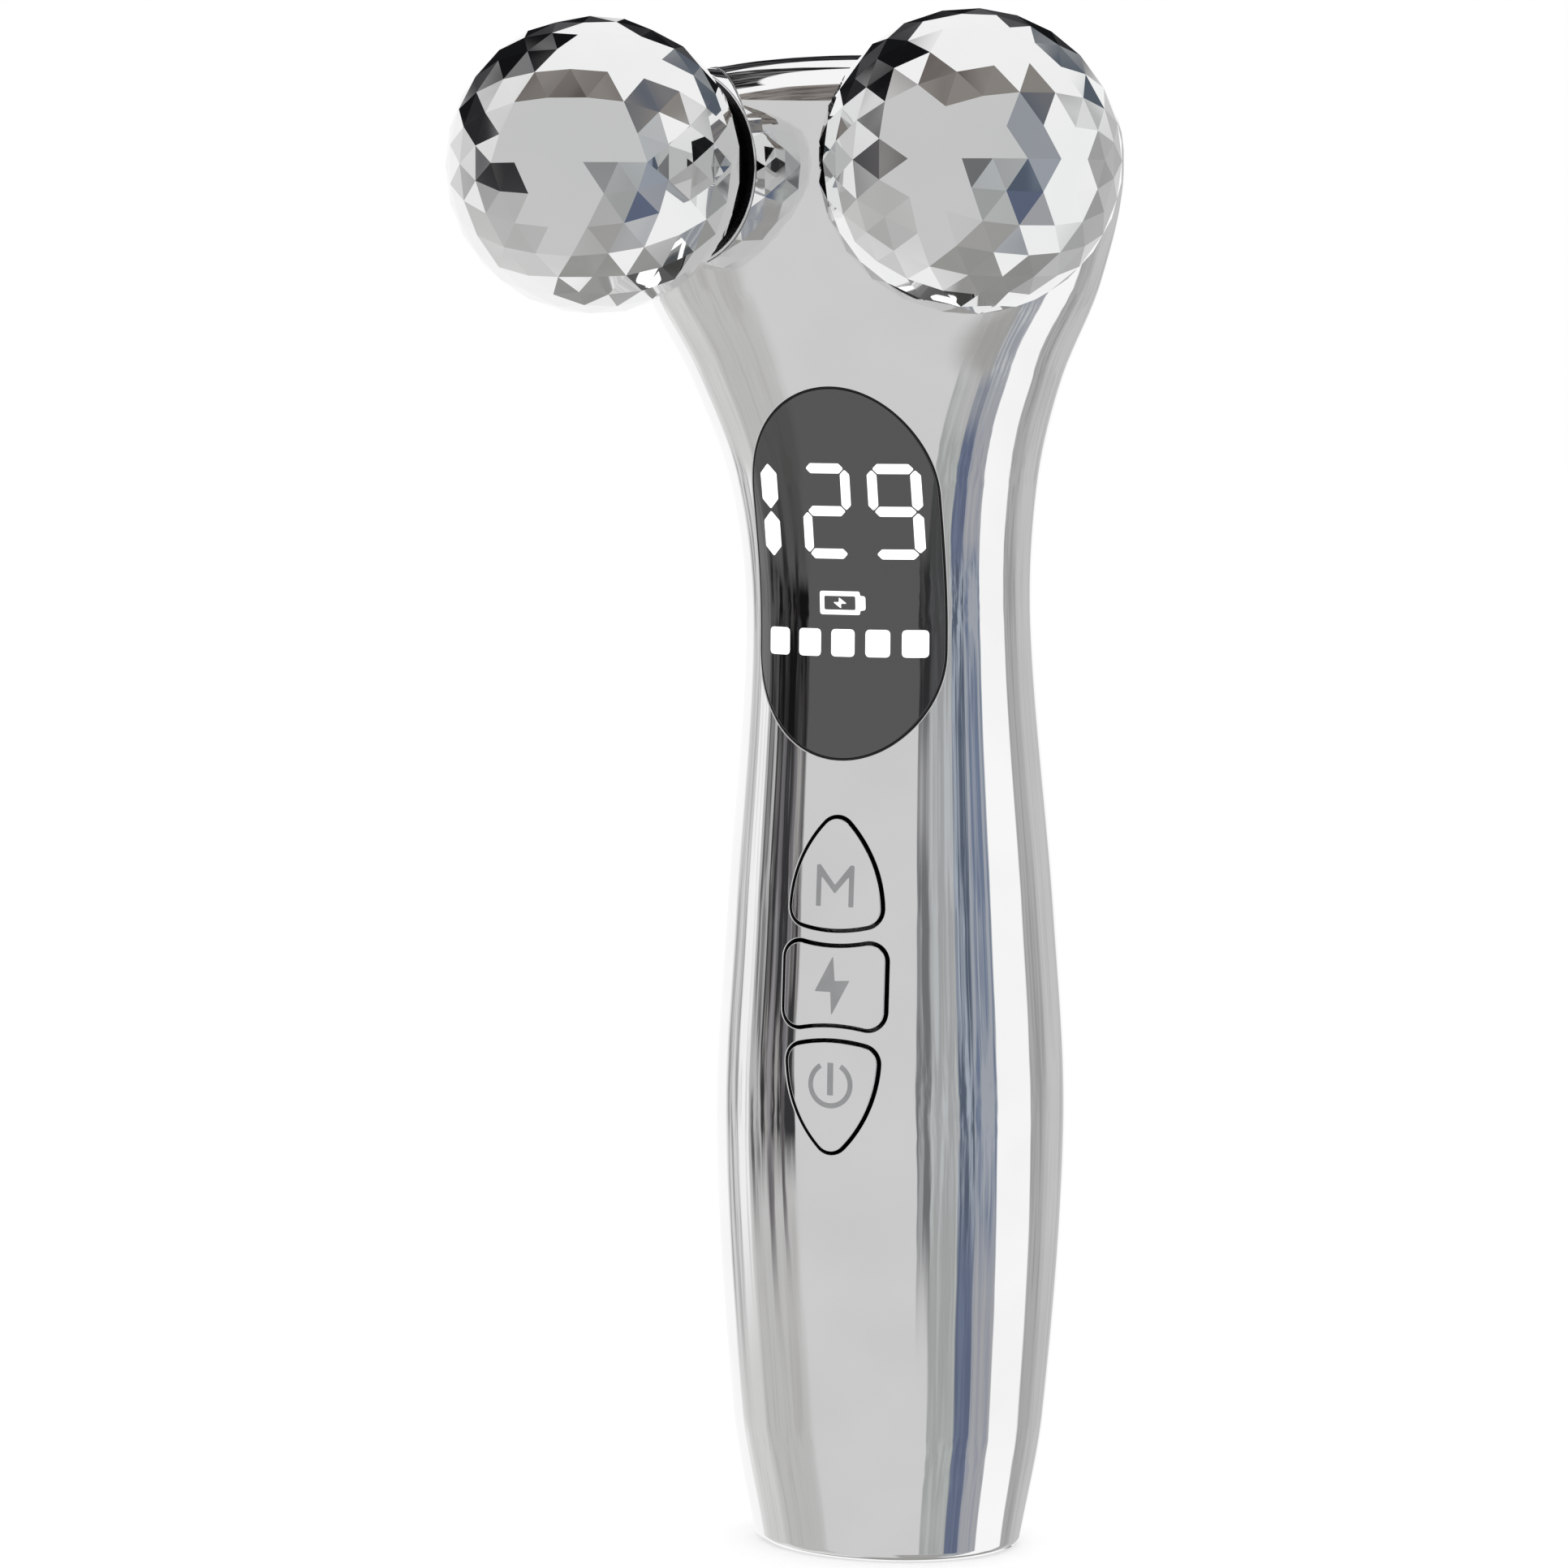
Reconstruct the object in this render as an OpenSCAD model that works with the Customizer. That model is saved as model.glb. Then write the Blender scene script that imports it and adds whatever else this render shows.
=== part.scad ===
// Handheld facial toning device: a bottle-shaped chrome handle whose flared head
// carries two faceted roller balls on splayed axles. Millimetres, +Z up the handle,
// front towards -Y, origin at the centre of the flat foot.

/* [Handle heights] */
// Height of the widest part of the grip
belly_z = 45; // [40:0.5:50]
// Height of the narrowest part of the handle above the belly
waist_up = 53; // [50:0.5:57]
// Height of the axles, where the head is widest, above the waist
head_up = 48; // [46:0.5:51]
// Height of the crown above the axles
crown_up = 11.5; // [11:0.1:13]

/* [Handle widths] */
// Width across the foot
foot_w = 29; // [27:0.2:32]
// Width across the belly of the grip
belly_w = 37.2; // [35:0.2:40]
// Width across the waist
waist_w = 30.2; // [29:0.2:33]
// Width across the head
head_w = 55.2; // [54:0.2:60]

/* [Handle depths] */
// Depth of the foot in front of the parting line
foot_front = 12; // [11:0.1:13.5]
// Depth of the foot behind the parting line
foot_rear = 12.2; // [11:0.1:13.5]
// Depth of the belly in front of the parting line
belly_front = 17; // [16:0.1:18.5]
// Depth of the belly behind the parting line
belly_rear = 16; // [15:0.1:17.5]
// Depth of the waist in front of the parting line
waist_front = 12.9; // [12.4:0.1:14]
// Depth of the waist behind the parting line
waist_rear = 12.6; // [11.8:0.1:14]
// Depth of the head in front of the parting line
head_front = 15.4; // [14.6:0.1:16.4]
// Depth of the head behind the parting line
head_rear = 7.6; // [7.4:0.1:9]
// How far the head leans forward of the foot
head_lean = 6; // [5.6:0.1:6.6]
// Radius of the edge round the crown
crown_round = 6.2; // [5.5:0.1:7]
// Radius of the edge round the foot
foot_round = 1; // [0.6:0.1:1.4]
// Wall of the two shells
wall = 1.8; // [1.7:0.05:2]

/* [Rollers] */
// Diameter over the corners of a ball
ball_d = 30.2; // [29:0.2:31]
// Wall of a ball at its thinnest
ball_wall = 1.4; // [1:0.1:2]
// How far each ball's centre stands inside the side of the head
ball_inset = 7.1; // [6.6:0.1:7.8]
// Gap between a ball and the rim of its seat
rim_gap = 1.64; // [1.4:0.02:2.2]
// How far the middle of each rim lies behind the front of the head
rim_sink = 3.45; // [3:0.05:4]
// Outward splay of each axle
splay = 18; // [16:0.5:20]
// Facets along each edge of the icosahedron under a ball
facet_rows = 5; // [4:1:6]
// Diameter of an axle
axle_d = 4; // [3.4:0.1:4.4]
// Outer diameter of a ball's bush
bush_d = 10; // [9:0.1:10.4]
// Diameter of the chrome rim round each roller seat
collar_d = 20.6; // [20:0.1:21]
// Thickness of that rim
collar_wall = 0.4; // [0.3:0.05:0.6]

/* [Display] */
// Width of the display window
window_w = 20.7; // [19.6:0.1:21.2]
// Height of the display window
window_h = 38.4; // [36:0.2:40]
// Height of each of its rounded ends
window_end = 11.1; // [10:0.1:14]
// Height of the window's centre above the waist
window_up = 6.1; // [5:0.1:7.5]
// Thickness of the window
window_t = 0.7; // [0.5:0.05:0.9]
// Ledge of shell that the window's gasket rests on
window_ledge = 0.4; // [0.3:0.05:0.6]
// Height of a digit
digit_h = 9.9; // [9:0.1:11]
// Width of a digit
digit_w = 5.5; // [5:0.1:5.8]
// Side of a level square
level_size = 2.6; // [2.2:0.1:3]
// Distance between the level squares
level_pitch = 3.8; // [3.6:0.05:3.9]

/* [Buttons] */
// Height of the middle of the button column above the belly
buttons_up = 16.4; // [15:0.2:18]
// Width of the two pointed buttons
point_w = 10; // [9.4:0.1:10.6]
// Height of the two pointed buttons
point_h = 11.4; // [10.8:0.1:12]
// Width of the middle button
middle_w = 11.2; // [10.6:0.1:11.8]
// Height of the middle button on its centre line
middle_h = 7.9; // [7.4:0.1:8.6]
// Bridge of shell between two buttons
bridge = 1.95; // [1.7:0.05:2.2]
// Radius of the curved edges between the buttons
edge_r = 16; // [13:0.5:20]
// Gap round each button
button_gap = 0.3; // [0.2:0.05:0.4]
// Travel of a button
travel = 0.5; // [0.3:0.05:0.6]

/* [Inside] */
// Room between the main board's edges and the wall at the waist
board_gap = 0.64; // [0.4:0.02:1.2]
// How far the board's lower edge lies below the belly
board_down = 7; // [5:0.5:9]
// Height of the board's upper edge above the waist
board_up = 24; // [22:0.5:26]
// Thickness of the board
board_t = 1.6; // [1.2:0.1:1.8]
// How far the board's face stands in front of the foot's centre
board_forward = 6.6; // [6.4:0.1:6.9]
// Diameter of the cell
cell_d = 14; // [12:0.5:14.2]
// Length of the cell
cell_h = 48; // [44:1:50]
// Height of the cell's lower end
cell_z = 24; // [22:0.5:26]
// Width of the charging socket
port_w = 8.94; // [8:0.02:9.2]
// Thickness of the charging socket
port_t = 3.26; // [3:0.02:3.4]
// Diameter of a screw
screw_d = 1.8; // [1.6:0.1:2]
// Diameter of a lead
lead_d = 0.9; // [0.8:0.1:1.2]

/* [Hidden] */

slip = 0.05; // clearance of one piece that slides in another
seat = 0.1; // clearance of a piece that is laid in its seat
tiny = 0.01; // overlap that keeps a cut open

waist_z = belly_z + waist_up;
head_z = waist_z + head_up;
top_z = head_z + crown_up;
window_z = waist_z + window_up;
buttons_z = belly_z + buttons_up;
board_z = belly_z - board_down;
board_top = waist_z + board_up;

// ---------- the handle's form ----------
// Each section is height, half width, front depth, rear depth, forward lean, fullness.
// The full sections are the foot, belly, waist and head; an eased section lies between two of
// them, at a share of the way for each value.
foot_lean = 1;
waist_lean = 0.8;
foot_section = 2;
belly_section = 2.2;
waist_section = 2.3;
head_section = 2.5;
foot = [0, foot_w / 2, foot_front, foot_rear, foot_lean, foot_section];
belly = [belly_z, belly_w / 2, belly_front, belly_rear, 0, belly_section];
waist = [waist_z, waist_w / 2, waist_front, waist_rear, waist_lean, waist_section];
head = [head_z, head_w / 2, head_front, head_rear, head_lean, head_section];
function eased(a, b, share) = [for (i = [0:5]) a[i] + (b[i] - a[i]) * share[i]];
profile = [
    foot,
    eased(foot, belly, [0.31, 0.57, 0.48, 0.5, 0.3, 0.5]), // ankle
    belly,
    eased(belly, waist, [0.43, 0.35, 0.26, 0.22, 0, 0.2]), // thumb rest
    waist,
    eased(waist, head, [0.31, 0.09, 0.16, 0.02, 0.24, 0.2]), // neck
    eased(waist, head, [0.54, 0.38, 0.26, 0.32, 0.63, 0.4]), // throat
    eased(waist, head, [0.75, 0.78, 0.46, 0.65, 0.93, 0.75]), // arms
    head,
];
last = len(profile) - 1;

// Smooth curve through the sections, upright again at the head.
function slope(i, c) =
    i == last ? 0 :
    let (a = profile[max(i - 1, 0)], b = profile[i + 1]) (b[c] - a[c]) / (b[0] - a[0]);
function below(z, i = 0) = i >= last - 1 || profile[i + 1][0] > z ? i : below(z, i + 1);
function value(z, c) =
    let (
        i = below(z),
        p = profile[i],
        q = profile[i + 1],
        h = q[0] - p[0],
        t = min(max((z - p[0]) / h, 0), 1)
    )
    (2 * t ^ 3 - 3 * t ^ 2 + 1) * p[c] + (t ^ 3 - 2 * t ^ 2 + t) * h * slope(i, c) +
    (3 * t ^ 2 - 2 * t ^ 3) * q[c] + (t ^ 3 - t ^ 2) * h * slope(i + 1, c);

// The same form, moved inwards by "in" all round.
crown_power = 3;
function quarter(r, d) = r - sqrt(max(r * r - d * d, 0));
function crown_in(z, in) = quarter(max(crown_round - in, 0.4), max(z - top_z + crown_round, 0));
function foot_in(z, in) = in > 0 ? 0 : quarter(foot_round, max(foot_round - z, 0));
function half_w(z, in) =
    z <= head_z ? value(z, 1) - in - foot_in(z, in) :
    (head_w / 2 - in) * max(1 - ((z - head_z) / (top_z - in - head_z)) ^ crown_power, 0) ^ (1 / crown_power);
function front_d(z, in) = value(z, 2) - in - foot_in(z, in) - crown_in(z, in);
function rear_d(z, in) = value(z, 3) - in - foot_in(z, in) - crown_in(z, in);
function lean(z) = value(z, 4);
function arch(x, z, in) = let (n = value(z, 5)) max(1 - (abs(x) / half_w(z, in)) ^ n, 0) ^ (1 / n);
function front_y(x, z, in) = -lean(z) - front_d(z, in) * arch(x, z, in);
function rear_y(x, z, in) = -lean(z) + rear_d(z, in) * arch(x, z, in);

// Heights of the rings: closer at the foot's edge and over the crown.
ring_step = 7.5;
crown_steps = 8;
foot_levels = [0, foot_round * 0.3, foot_round];
rise_steps = ceil((head_z - foot_round) / ring_step);
function crown_level(k, in) = head_z + (top_z - in - head_z) * sin(90 * min(k / crown_steps, 0.96)) ^ 0.75;
function levels(in) = concat(
    foot_levels,
    [for (k = [1:rise_steps]) foot_round + (head_z - foot_round) * k / rise_steps],
    [for (k = [1:crown_steps]) crown_level(k, in)]
);

// One side of a ring, from its right end round to its left; side -1 is the front, 1 the rear.
ring_parts = 20;
function side_ring(z, in, side) = [
    for (k = [0:ring_parts])
        let (
            a = 180 * k / ring_parts,
            n = value(z, 5),
            c = cos(a),
            s = sin(a),
            d = side < 0 ? front_d(z, in) : rear_d(z, in)
        )
        [
            half_w(z, in) * sign(c) * abs(c) ^ (2 / n),
            -lean(z) + side * d * (k == ring_parts ? 0 : s) ^ (2 / n),
            z,
        ]
];

// Faces between neighbouring rows of points, each row being m points long.
function strip(start, rows, m, flip) = [
    for (r = [0:rows - 2], k = [0:m - 2])
        let (a = start + r * m + k, b = a + 1, c = b + m, d = a + m)
        each flip ? [[a, d, c], [a, c, b]] : [[a, b, c], [a, c, d]]
];
function turned(face, flip) = flip ? [for (i = [len(face) - 1:-1:0]) face[i]] : face;

module half_shell(side) {
    outer = levels(0);
    inner = levels(wall);
    m = ring_parts + 1;
    rows = len(outer);
    first_in = rows * m;
    flip = side > 0;
    points = concat(
        [for (z = outer) each side_ring(z, 0, side)],
        [for (z = inner) each side_ring(z, wall, side)]
    );
    seam = [
        for (r = [0:rows - 2], e = [0, ring_parts])
            let (a = r * m + e, b = a + m, c = b + first_in, d = a + first_in, f = (e == 0) != flip)
            each f ? [[a, b, c], [a, c, d]] : [[a, c, b], [a, d, c]]
    ];
    rim = [
        for (k = [0:m - 2])
            let (a = k, b = k + 1, c = b + first_in, d = a + first_in)
            each flip ? [[a, b, c], [a, c, d]] : [[a, c, b], [a, d, c]]
    ];
    top = (rows - 1) * m;
    crown = [
        turned([for (k = [0:m - 1]) top + k], flip),
        turned([for (k = [m - 1:-1:0]) first_in + top + k], flip),
        turned([top + m - 1, top, first_in + top, first_in + top + m - 1], flip),
    ];
    polyhedron(
        points,
        concat(strip(0, rows, m, flip), strip(first_in, rows, m, !flip), seam, rim, crown)
    );
}

// A curved slab that follows the front of the handle, between two depths below its surface.
slab_columns = 10;
module front_slab(z0, z1, x1, in0, in1, rows = 8) {
    m = slab_columns + 1;
    function grid(in) = [
        for (r = [0:rows], k = [0:slab_columns])
            let (z = z0 + (z1 - z0) * r / rows, x = x1 * (2 * k / slab_columns - 1))
            [x, front_y(x, z, in), z]
    ];
    n = (rows + 1) * m;
    points = concat(grid(in0), grid(in1));
    ends = [
        for (k = [0:m - 2])
            let (a = k, b = k + 1, c = a + rows * m, d = b + rows * m)
            each [[a, b + n, b], [a, a + n, b + n], [c, d, d + n], [c, d + n, c + n]]
    ];
    sides = [
        for (r = [0:rows - 1])
            let (a = r * m, b = a + m, c = a + m - 1, d = c + m)
            each [[a, b, b + n], [a, b + n, a + n], [c, d + n, d], [c, c + n, d + n]]
    ];
    polyhedron(points, concat(strip(0, rows + 1, m, true), strip(n, rows + 1, m, false), ends, sides));
}

// Cuts straight through the front of the handle along a flat outline.
module through_front(depth = 30) {
    rotate([90, 0, 0]) linear_extrude(depth) children();
}

// ---------- rollers ----------
ball_r = ball_d / 2;
collar_r = collar_d / 2;
ball_spacing = head_w - 2 * ball_inset;
// Distances from a ball's centre back along its axle: to the edge of the rim, to the rim's seat,
// to the floor of the black well, to the carrier's boss and to the axle's inner end.
collar_back = sqrt((ball_r + rim_gap) ^ 2 - collar_r ^ 2);
collar_seat = collar_back + 3.8;
well_floor = collar_back + 2.7;
boss_front = collar_back + 8;
axle_back = collar_back + 14.8;
ball_forward = head_lean + head_front - rim_sink + collar_back * cos(splay);
bush_end = 2.5; // how far the bush reaches past the ball's centre
clip_t = 0.6;
clip_gap = 0.4;
spigot_r = collar_r - 1.7; // rear part of the insulator, inside the head

// Places children with the axle as their Z axis and the ball's centre as origin.
module at_ball(side) {
    translate([side * ball_spacing / 2, -ball_forward, head_z])
        rotate([0, 0, side * splay]) rotate([90, 0, 0]) children();
}

// A tube along the axle between two distances from the ball's centre.
module barrel(r, from, to, bore = 0) {
    translate([0, 0, from]) difference() {
        cylinder(r = r, h = to - from, $fn = 64);
        if (bore > 0) translate([0, 0, -1]) cylinder(r = bore, h = to - from + 2, $fn = 64);
    }
}

// The corners of an icosahedron with one corner on the axle.
ico_tilt = atan(2);
ico = concat(
    [[0, 0, 1]],
    [for (k = [0:4]) [sin(ico_tilt) * cos(72 * k), sin(ico_tilt) * sin(72 * k), cos(ico_tilt)]],
    [for (k = [0:4]) [sin(ico_tilt) * cos(72 * k + 36), sin(ico_tilt) * sin(72 * k + 36), -cos(ico_tilt)]],
    [[0, 0, -1]]
);
ico_faces = [
    for (k = [0:4])
        let (n = (k + 1) % 5)
        each [[0, 1 + n, 1 + k], [1 + k, 1 + n, 6 + k], [6 + k, 1 + n, 6 + n], [6 + k, 6 + n, 11]]
];
function on_ball(v) = [for (c = v / norm(v) * ball_r) round(c * 1e5) / 1e5];
function spot(face, i, j) =
    on_ball(ico[face[0]] * (facet_rows - i) + ico[face[1]] * (i - j) + ico[face[2]] * j);

// Every face of the icosahedron is split into rows of near-equal flat triangles.
module faceted_ball() {
    triangles = [
        for (face = ico_faces, i = [0:facet_rows - 1], j = [0:i])
            each concat(
                [[spot(face, i, j), spot(face, i + 1, j), spot(face, i + 1, j + 1)]],
                j < i ? [[spot(face, i, j), spot(face, i + 1, j + 1), spot(face, i, j + 1)]] : []
            )
    ];
    polyhedron(
        [for (t = triangles) each t],
        [for (k = [0:len(triangles) - 1]) [3 * k, 3 * k + 1, 3 * k + 2]]
    );
}

facet_sink = 0.25; // how far the middle of a facet lies below the corners
hub_wall = 1.4;
module ball(side) {
    hub_r = bush_d / 2 + hub_wall;
    color("silver") at_ball(side) difference() {
        faceted_ball();
        difference() {
            sphere(r = ball_r - facet_sink - ball_wall, $fn = 64);
            barrel(hub_r, -ball_r, bush_end + hub_wall);
        }
        barrel(bush_d / 2, -ball_r - 1, ball_r / 2);
    }
}

bush_back = collar_back + 1.1; // distance from the ball's centre back to the bush's outer face
module bush(side) {
    color("ivory") at_ball(side) barrel(bush_d / 2, -bush_back, bush_end, axle_d / 2 + slip);
}

groove_r = axle_d / 2 - clip_gap;
module axle(side) {
    clip_z = bush_end + clip_gap;
    color("lightgray") at_ball(side) difference() {
        barrel(axle_d / 2, -axle_back, clip_z + 2 * clip_t + clip_gap);
        barrel(axle_d, clip_z - slip, clip_z + clip_t + slip, groove_r);
    }
}

clip_r = 3.3;
module clip(side) {
    clip_z = bush_end + clip_gap;
    color("dimgray") at_ball(side) barrel(clip_r, clip_z, clip_z + clip_t, groove_r);
}

washer_t = 0.3;
washer_r = 3.9;
module washer(side) {
    color("white") at_ball(side)
        barrel(washer_r, -bush_back - slip - washer_t, -bush_back - slip, axle_d / 2 + slip);
}

module collar(side) {
    color("silver") at_ball(side)
        barrel(collar_r, -collar_seat, -collar_back, collar_r - collar_wall);
}

well_lip = 0.9;
lip_drop = 0.5;
module insulator(side) {
    cup_r = collar_r - collar_wall - slip;
    color("black") at_ball(side) difference() {
        union() {
            barrel(cup_r, -collar_seat, -collar_back - lip_drop);
            barrel(spigot_r, -boss_front, -collar_seat + tiny);
        }
        difference() {
            barrel(cup_r - well_lip, -well_floor, 0);
            barrel(washer_r, -well_floor - 1, -bush_back - 2 * slip - washer_t);
        }
        barrel(axle_d / 2 + slip, -boss_front - 1, 0);
    }
}

// The solid form of one half above a height, moved inwards by "in".
module half_core(side, in, from) {
    heights = [for (z = levels(in)) if (z >= from) z];
    m = ring_parts + 1;
    n = len(heights);
    flip = side > 0;
    parting = [for (r = [0:n - 2]) turned([r * m + m - 1, r * m, r * m + m, r * m + 2 * m - 1], flip)];
    polyhedron(
        [for (z = heights) each side_ring(z, in, side)],
        concat(strip(0, n, m, flip), parting, [
            turned([for (k = [m - 1:-1:0]) k], flip),
            turned([for (k = [0:m - 1]) (n - 1) * m + k], flip),
        ])
    );
}

// The sleeves moulded round the roller seats, inside the head.
sleeve_wall = 1.1;
sleeve_back = 19.2;
module sleeves() {
    intersection() {
        half_core(-1, wall / 2, head_z - collar_r - 8);
        for (side = [-1, 1]) at_ball(side) barrel(collar_r + slip + sleeve_wall, -sleeve_back, 0);
    }
}

// Openings for one roller seat in the front shell.
module roller_cut(side) {
    at_ball(side) {
        barrel(collar_r + slip, -collar_seat, 0);
        barrel(spigot_r + seat, -boss_front - 1, 0);
    }
}

// ---------- carrier that holds both axles in the head ----------
boss_r = 5.2;
contact_t = 0.3;
contact_w = 5;
contact_h = 11;
contact_up = 4; // how far a contact reaches above its axle
// The web's back stands clear in front of the contacts at the axles' inner ends.
web_back = ball_forward - axle_back * cos(splay) + contact_w / 2 * sin(splay) + seat;
web_t = 2.3;
web_front = web_back + web_t;
web_h = 13;
carrier_screw_z = [-4.5, 4.5]; // heights of the two screws above and below the axles
screw_r = screw_d / 2;
screw_head_r = screw_r + 0.95;
screw_head_t = 1.2;
pilot = 0.05;

module axle_carrier() {
    half = ball_spacing / 2 - axle_back * sin(splay);
    color("dimgray") difference() {
        union() {
            translate([-half, -web_front, head_z - web_h / 2]) cube([2 * half, web_front - web_back, web_h]);
            for (side = [-1, 1]) at_ball(side) barrel(boss_r, -axle_back, -boss_front - slip);
        }
        for (side = [-1, 1]) at_ball(side) barrel(axle_d / 2, -axle_back - 5, 0);
        for (z = carrier_screw_z) screw_way(0, head_z + z, web_front + 1, web_back - 1, screw_r + slip);
    }
}

// A round bar along Y at x and z, between two distances forward of the foot's centre.
module screw_way(x, z, front, back, r) {
    translate([x, -back, z]) rotate([90, 0, 0]) cylinder(r = r, h = front - back, $fn = 32);
}

module screw(x, z, face, reach) {
    screw_way(x, z, face + screw_head_t, face, screw_head_r);
    screw_way(x, z, face + tiny, face - reach, screw_r);
}

carrier_screw_l = 5.2;
module carrier_screws() {
    color("gray") for (z = carrier_screw_z) screw(0, head_z + z, web_front, carrier_screw_l);
}

module contact(side) {
    color("goldenrod") at_ball(side)
        translate([-contact_w / 2, contact_up - contact_h, -axle_back - contact_t])
            cube([contact_w, contact_h, contact_t]);
}

// ---------- display ----------
function oval(grow, steps = 60) = [
    for (k = [0:steps - 1])
        let (a = 360 * k / steps, c = cos(a), s = k % (steps / 2) == 0 ? 0 : sin(a))
        [(window_w / 2 + grow) * c, sign(s) * (window_h / 2 - window_end) + (window_end + grow) * s]
];
module window_outline(grow) {
    translate([0, window_z]) polygon(oval(grow));
}
gasket_t = 0.1;
gasket_edge = 0.15;
slab_edge = 1.2; // how far the slabs that the display pieces are cut from pass the window
module display_slab(in0, in1, rows = 10) {
    reach = window_h / 2 + slab_edge;
    front_slab(window_z - reach, window_z + reach, window_w / 2 + slab_edge, in0, in1, rows);
}

module display_window() {
    color("dimgray", 0.8) intersection() {
        display_slab(0, window_t);
        through_front() window_outline(0);
    }
}

module window_gasket() {
    color("black") difference() {
        intersection() {
            display_slab(0.08, window_t + gasket_t);
            through_front() window_outline(gasket_edge - 0.03);
        }
        intersection() {
            display_slab(-1, window_t);
            through_front() window_outline(0);
        }
        through_front() window_outline(-window_ledge);
    }
}

// The light box behind the window; its curved face carries the lit figures.
figure_t = 0.15;
module_in = window_t + gasket_t + figure_t;
module display_module() {
    color("black") intersection() {
        display_slab(module_in, 9);
        difference() {
            through_front() window_outline(-window_ledge - seat);
            translate([-50, -board_forward, 0]) cube([100, 50, 200]);
            // Room for the heads of the board's screws.
            for (p = high_screws)
                screw_way(p[0], p[1], board_forward + screw_head_t + slip, board_forward - 1, screw_head_r + slip);
        }
    }
}

// A figure printed on the light box along a flat outline.
module lit() {
    intersection() {
        display_slab(module_in - figure_t, module_in);
        through_front() intersection() {
            window_outline(-window_ledge - seat);
            children();
        }
    }
}

digit_z = window_z + 6.5; // height of the middle of the digits
digit_pitch = 7.4;
digit_shift = -1.3; // place of the middle digit
bar = 1.05; // width of a lit segment
lead_bar = 2.1; // width of the two lit segments of the leading figure
lead_x = -8.1; // and where they stand
nick = 0.1; // gap between two segments
// Segments a to g as centre, in half digits, and whether each stands upright.
segments = [
    [0, 1, false], [1, 0.5, true], [1, -0.5, true], [0, -1, false],
    [-1, -0.5, true], [-1, 0.5, true], [0, 0, false],
];
shown = [[0, 1, 6, 4, 3], [0, 1, 2, 3, 5, 6]]; // the figures 2 and 9

module hexagon_bar(reach, w) {
    polygon([
        [-reach, 0], [-reach + w / 2, w / 2], [reach - w / 2, w / 2],
        [reach, 0], [reach - w / 2, -w / 2], [-reach + w / 2, -w / 2],
    ]);
}
module segment(s) {
    half_x = (digit_w - bar) / 2;
    half_z = (digit_h - bar) / 2;
    reach = s[2] ? half_z / 2 - nick : half_x - nick;
    translate([s[0] * half_x, s[1] * half_z]) rotate(s[2] ? 90 : 0) hexagon_bar(reach, bar);
}

module display_digits() {
    color("white") lit() {
        for (d = [0:1], s = shown[d])
            translate([digit_shift + d * digit_pitch, digit_z]) segment(segments[s]);
        for (s = [-1, 1])
            translate([lead_x, digit_z + s * digit_h / 4]) rotate(90)
                hexagon_bar(digit_h / 4 - nick, lead_bar);
    }
}

levels_shown = 5;
level_z = window_z - 7.2;
level_corner = 0.5;
cell_sign_z = window_z - 3.1;
cell_sign = [4.4, 2.3, 0.35]; // width, height and line of the battery sign
module cell_sign_outline() {
    difference() {
        square([cell_sign[0], cell_sign[1]], center = true);
        square([cell_sign[0] - 2 * cell_sign[2], cell_sign[1] - 2 * cell_sign[2]], center = true);
    }
    translate([cell_sign[0] / 2 + cell_sign[2], 0])
        square([2 * cell_sign[2] + tiny, cell_sign[1] / 2], center = true);
}
bolt_sign = [[0.1, 1], [-0.75, -0.15], [-0.1, -0.15], [-0.1, -1], [0.75, 0.15], [0.1, 0.15]];
module display_symbols() {
    color("white") lit() {
        for (k = [0:levels_shown - 1])
            translate([(k - (levels_shown - 1) / 2) * level_pitch, level_z])
                square([level_size, level_size + level_corner / 2], center = true);
        translate([-cell_sign[2], cell_sign_z]) {
            cell_sign_outline();
            rotate(90) scale(0.55) polygon(bolt_sign);
        }
    }
}

// ---------- buttons ----------
corner = 1.7;
shoulder = 1.6; // height of a pointed button's widest line over its base
// A pointed arch on a rounded base; the point is up.
module pointed(grow) {
    half = point_w / 2;
    a = half - corner;
    c = ((point_h - shoulder - corner) ^ 2 - a * a) / (2 * a); // from an arc's centre to the axis
    offset(delta = grow) offset(r = corner, $fn = 48) offset(delta = -corner) intersection() {
        translate([-c, shoulder]) circle(r = half + c, $fn = 180);
        translate([c, shoulder]) circle(r = half + c, $fn = 180);
        translate([0, edge_r]) circle(r = edge_r, $fn = 180);
        translate([-half, 0]) square([2 * half, point_h + corner]);
    }
}

module middle(grow) {
    sink = middle_h / 2 + bridge + edge_r;
    offset(delta = grow) offset(r = corner, $fn = 48) offset(delta = -corner) difference() {
        square([middle_w, middle_h + 2 * corner], center = true);
        for (s = [-1, 1]) translate([0, s * sink]) circle(r = edge_r + bridge, $fn = 180);
    }
}

// Outline of one button; place 1 is the upper, 0 the middle and -1 the lower one.
module button_outline(place, grow = 0) {
    translate([0, buttons_z]) {
        if (place == 0) middle(grow);
        if (place != 0) scale([1, place]) translate([0, middle_h / 2 + bridge]) pointed(grow);
    }
}
stem_drop = 1.2; // how far the pointed buttons' stems stand nearer to the middle
function button_mid(place) = buttons_z + place * (middle_h / 2 + bridge + point_h / 2 - stem_drop);

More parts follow.
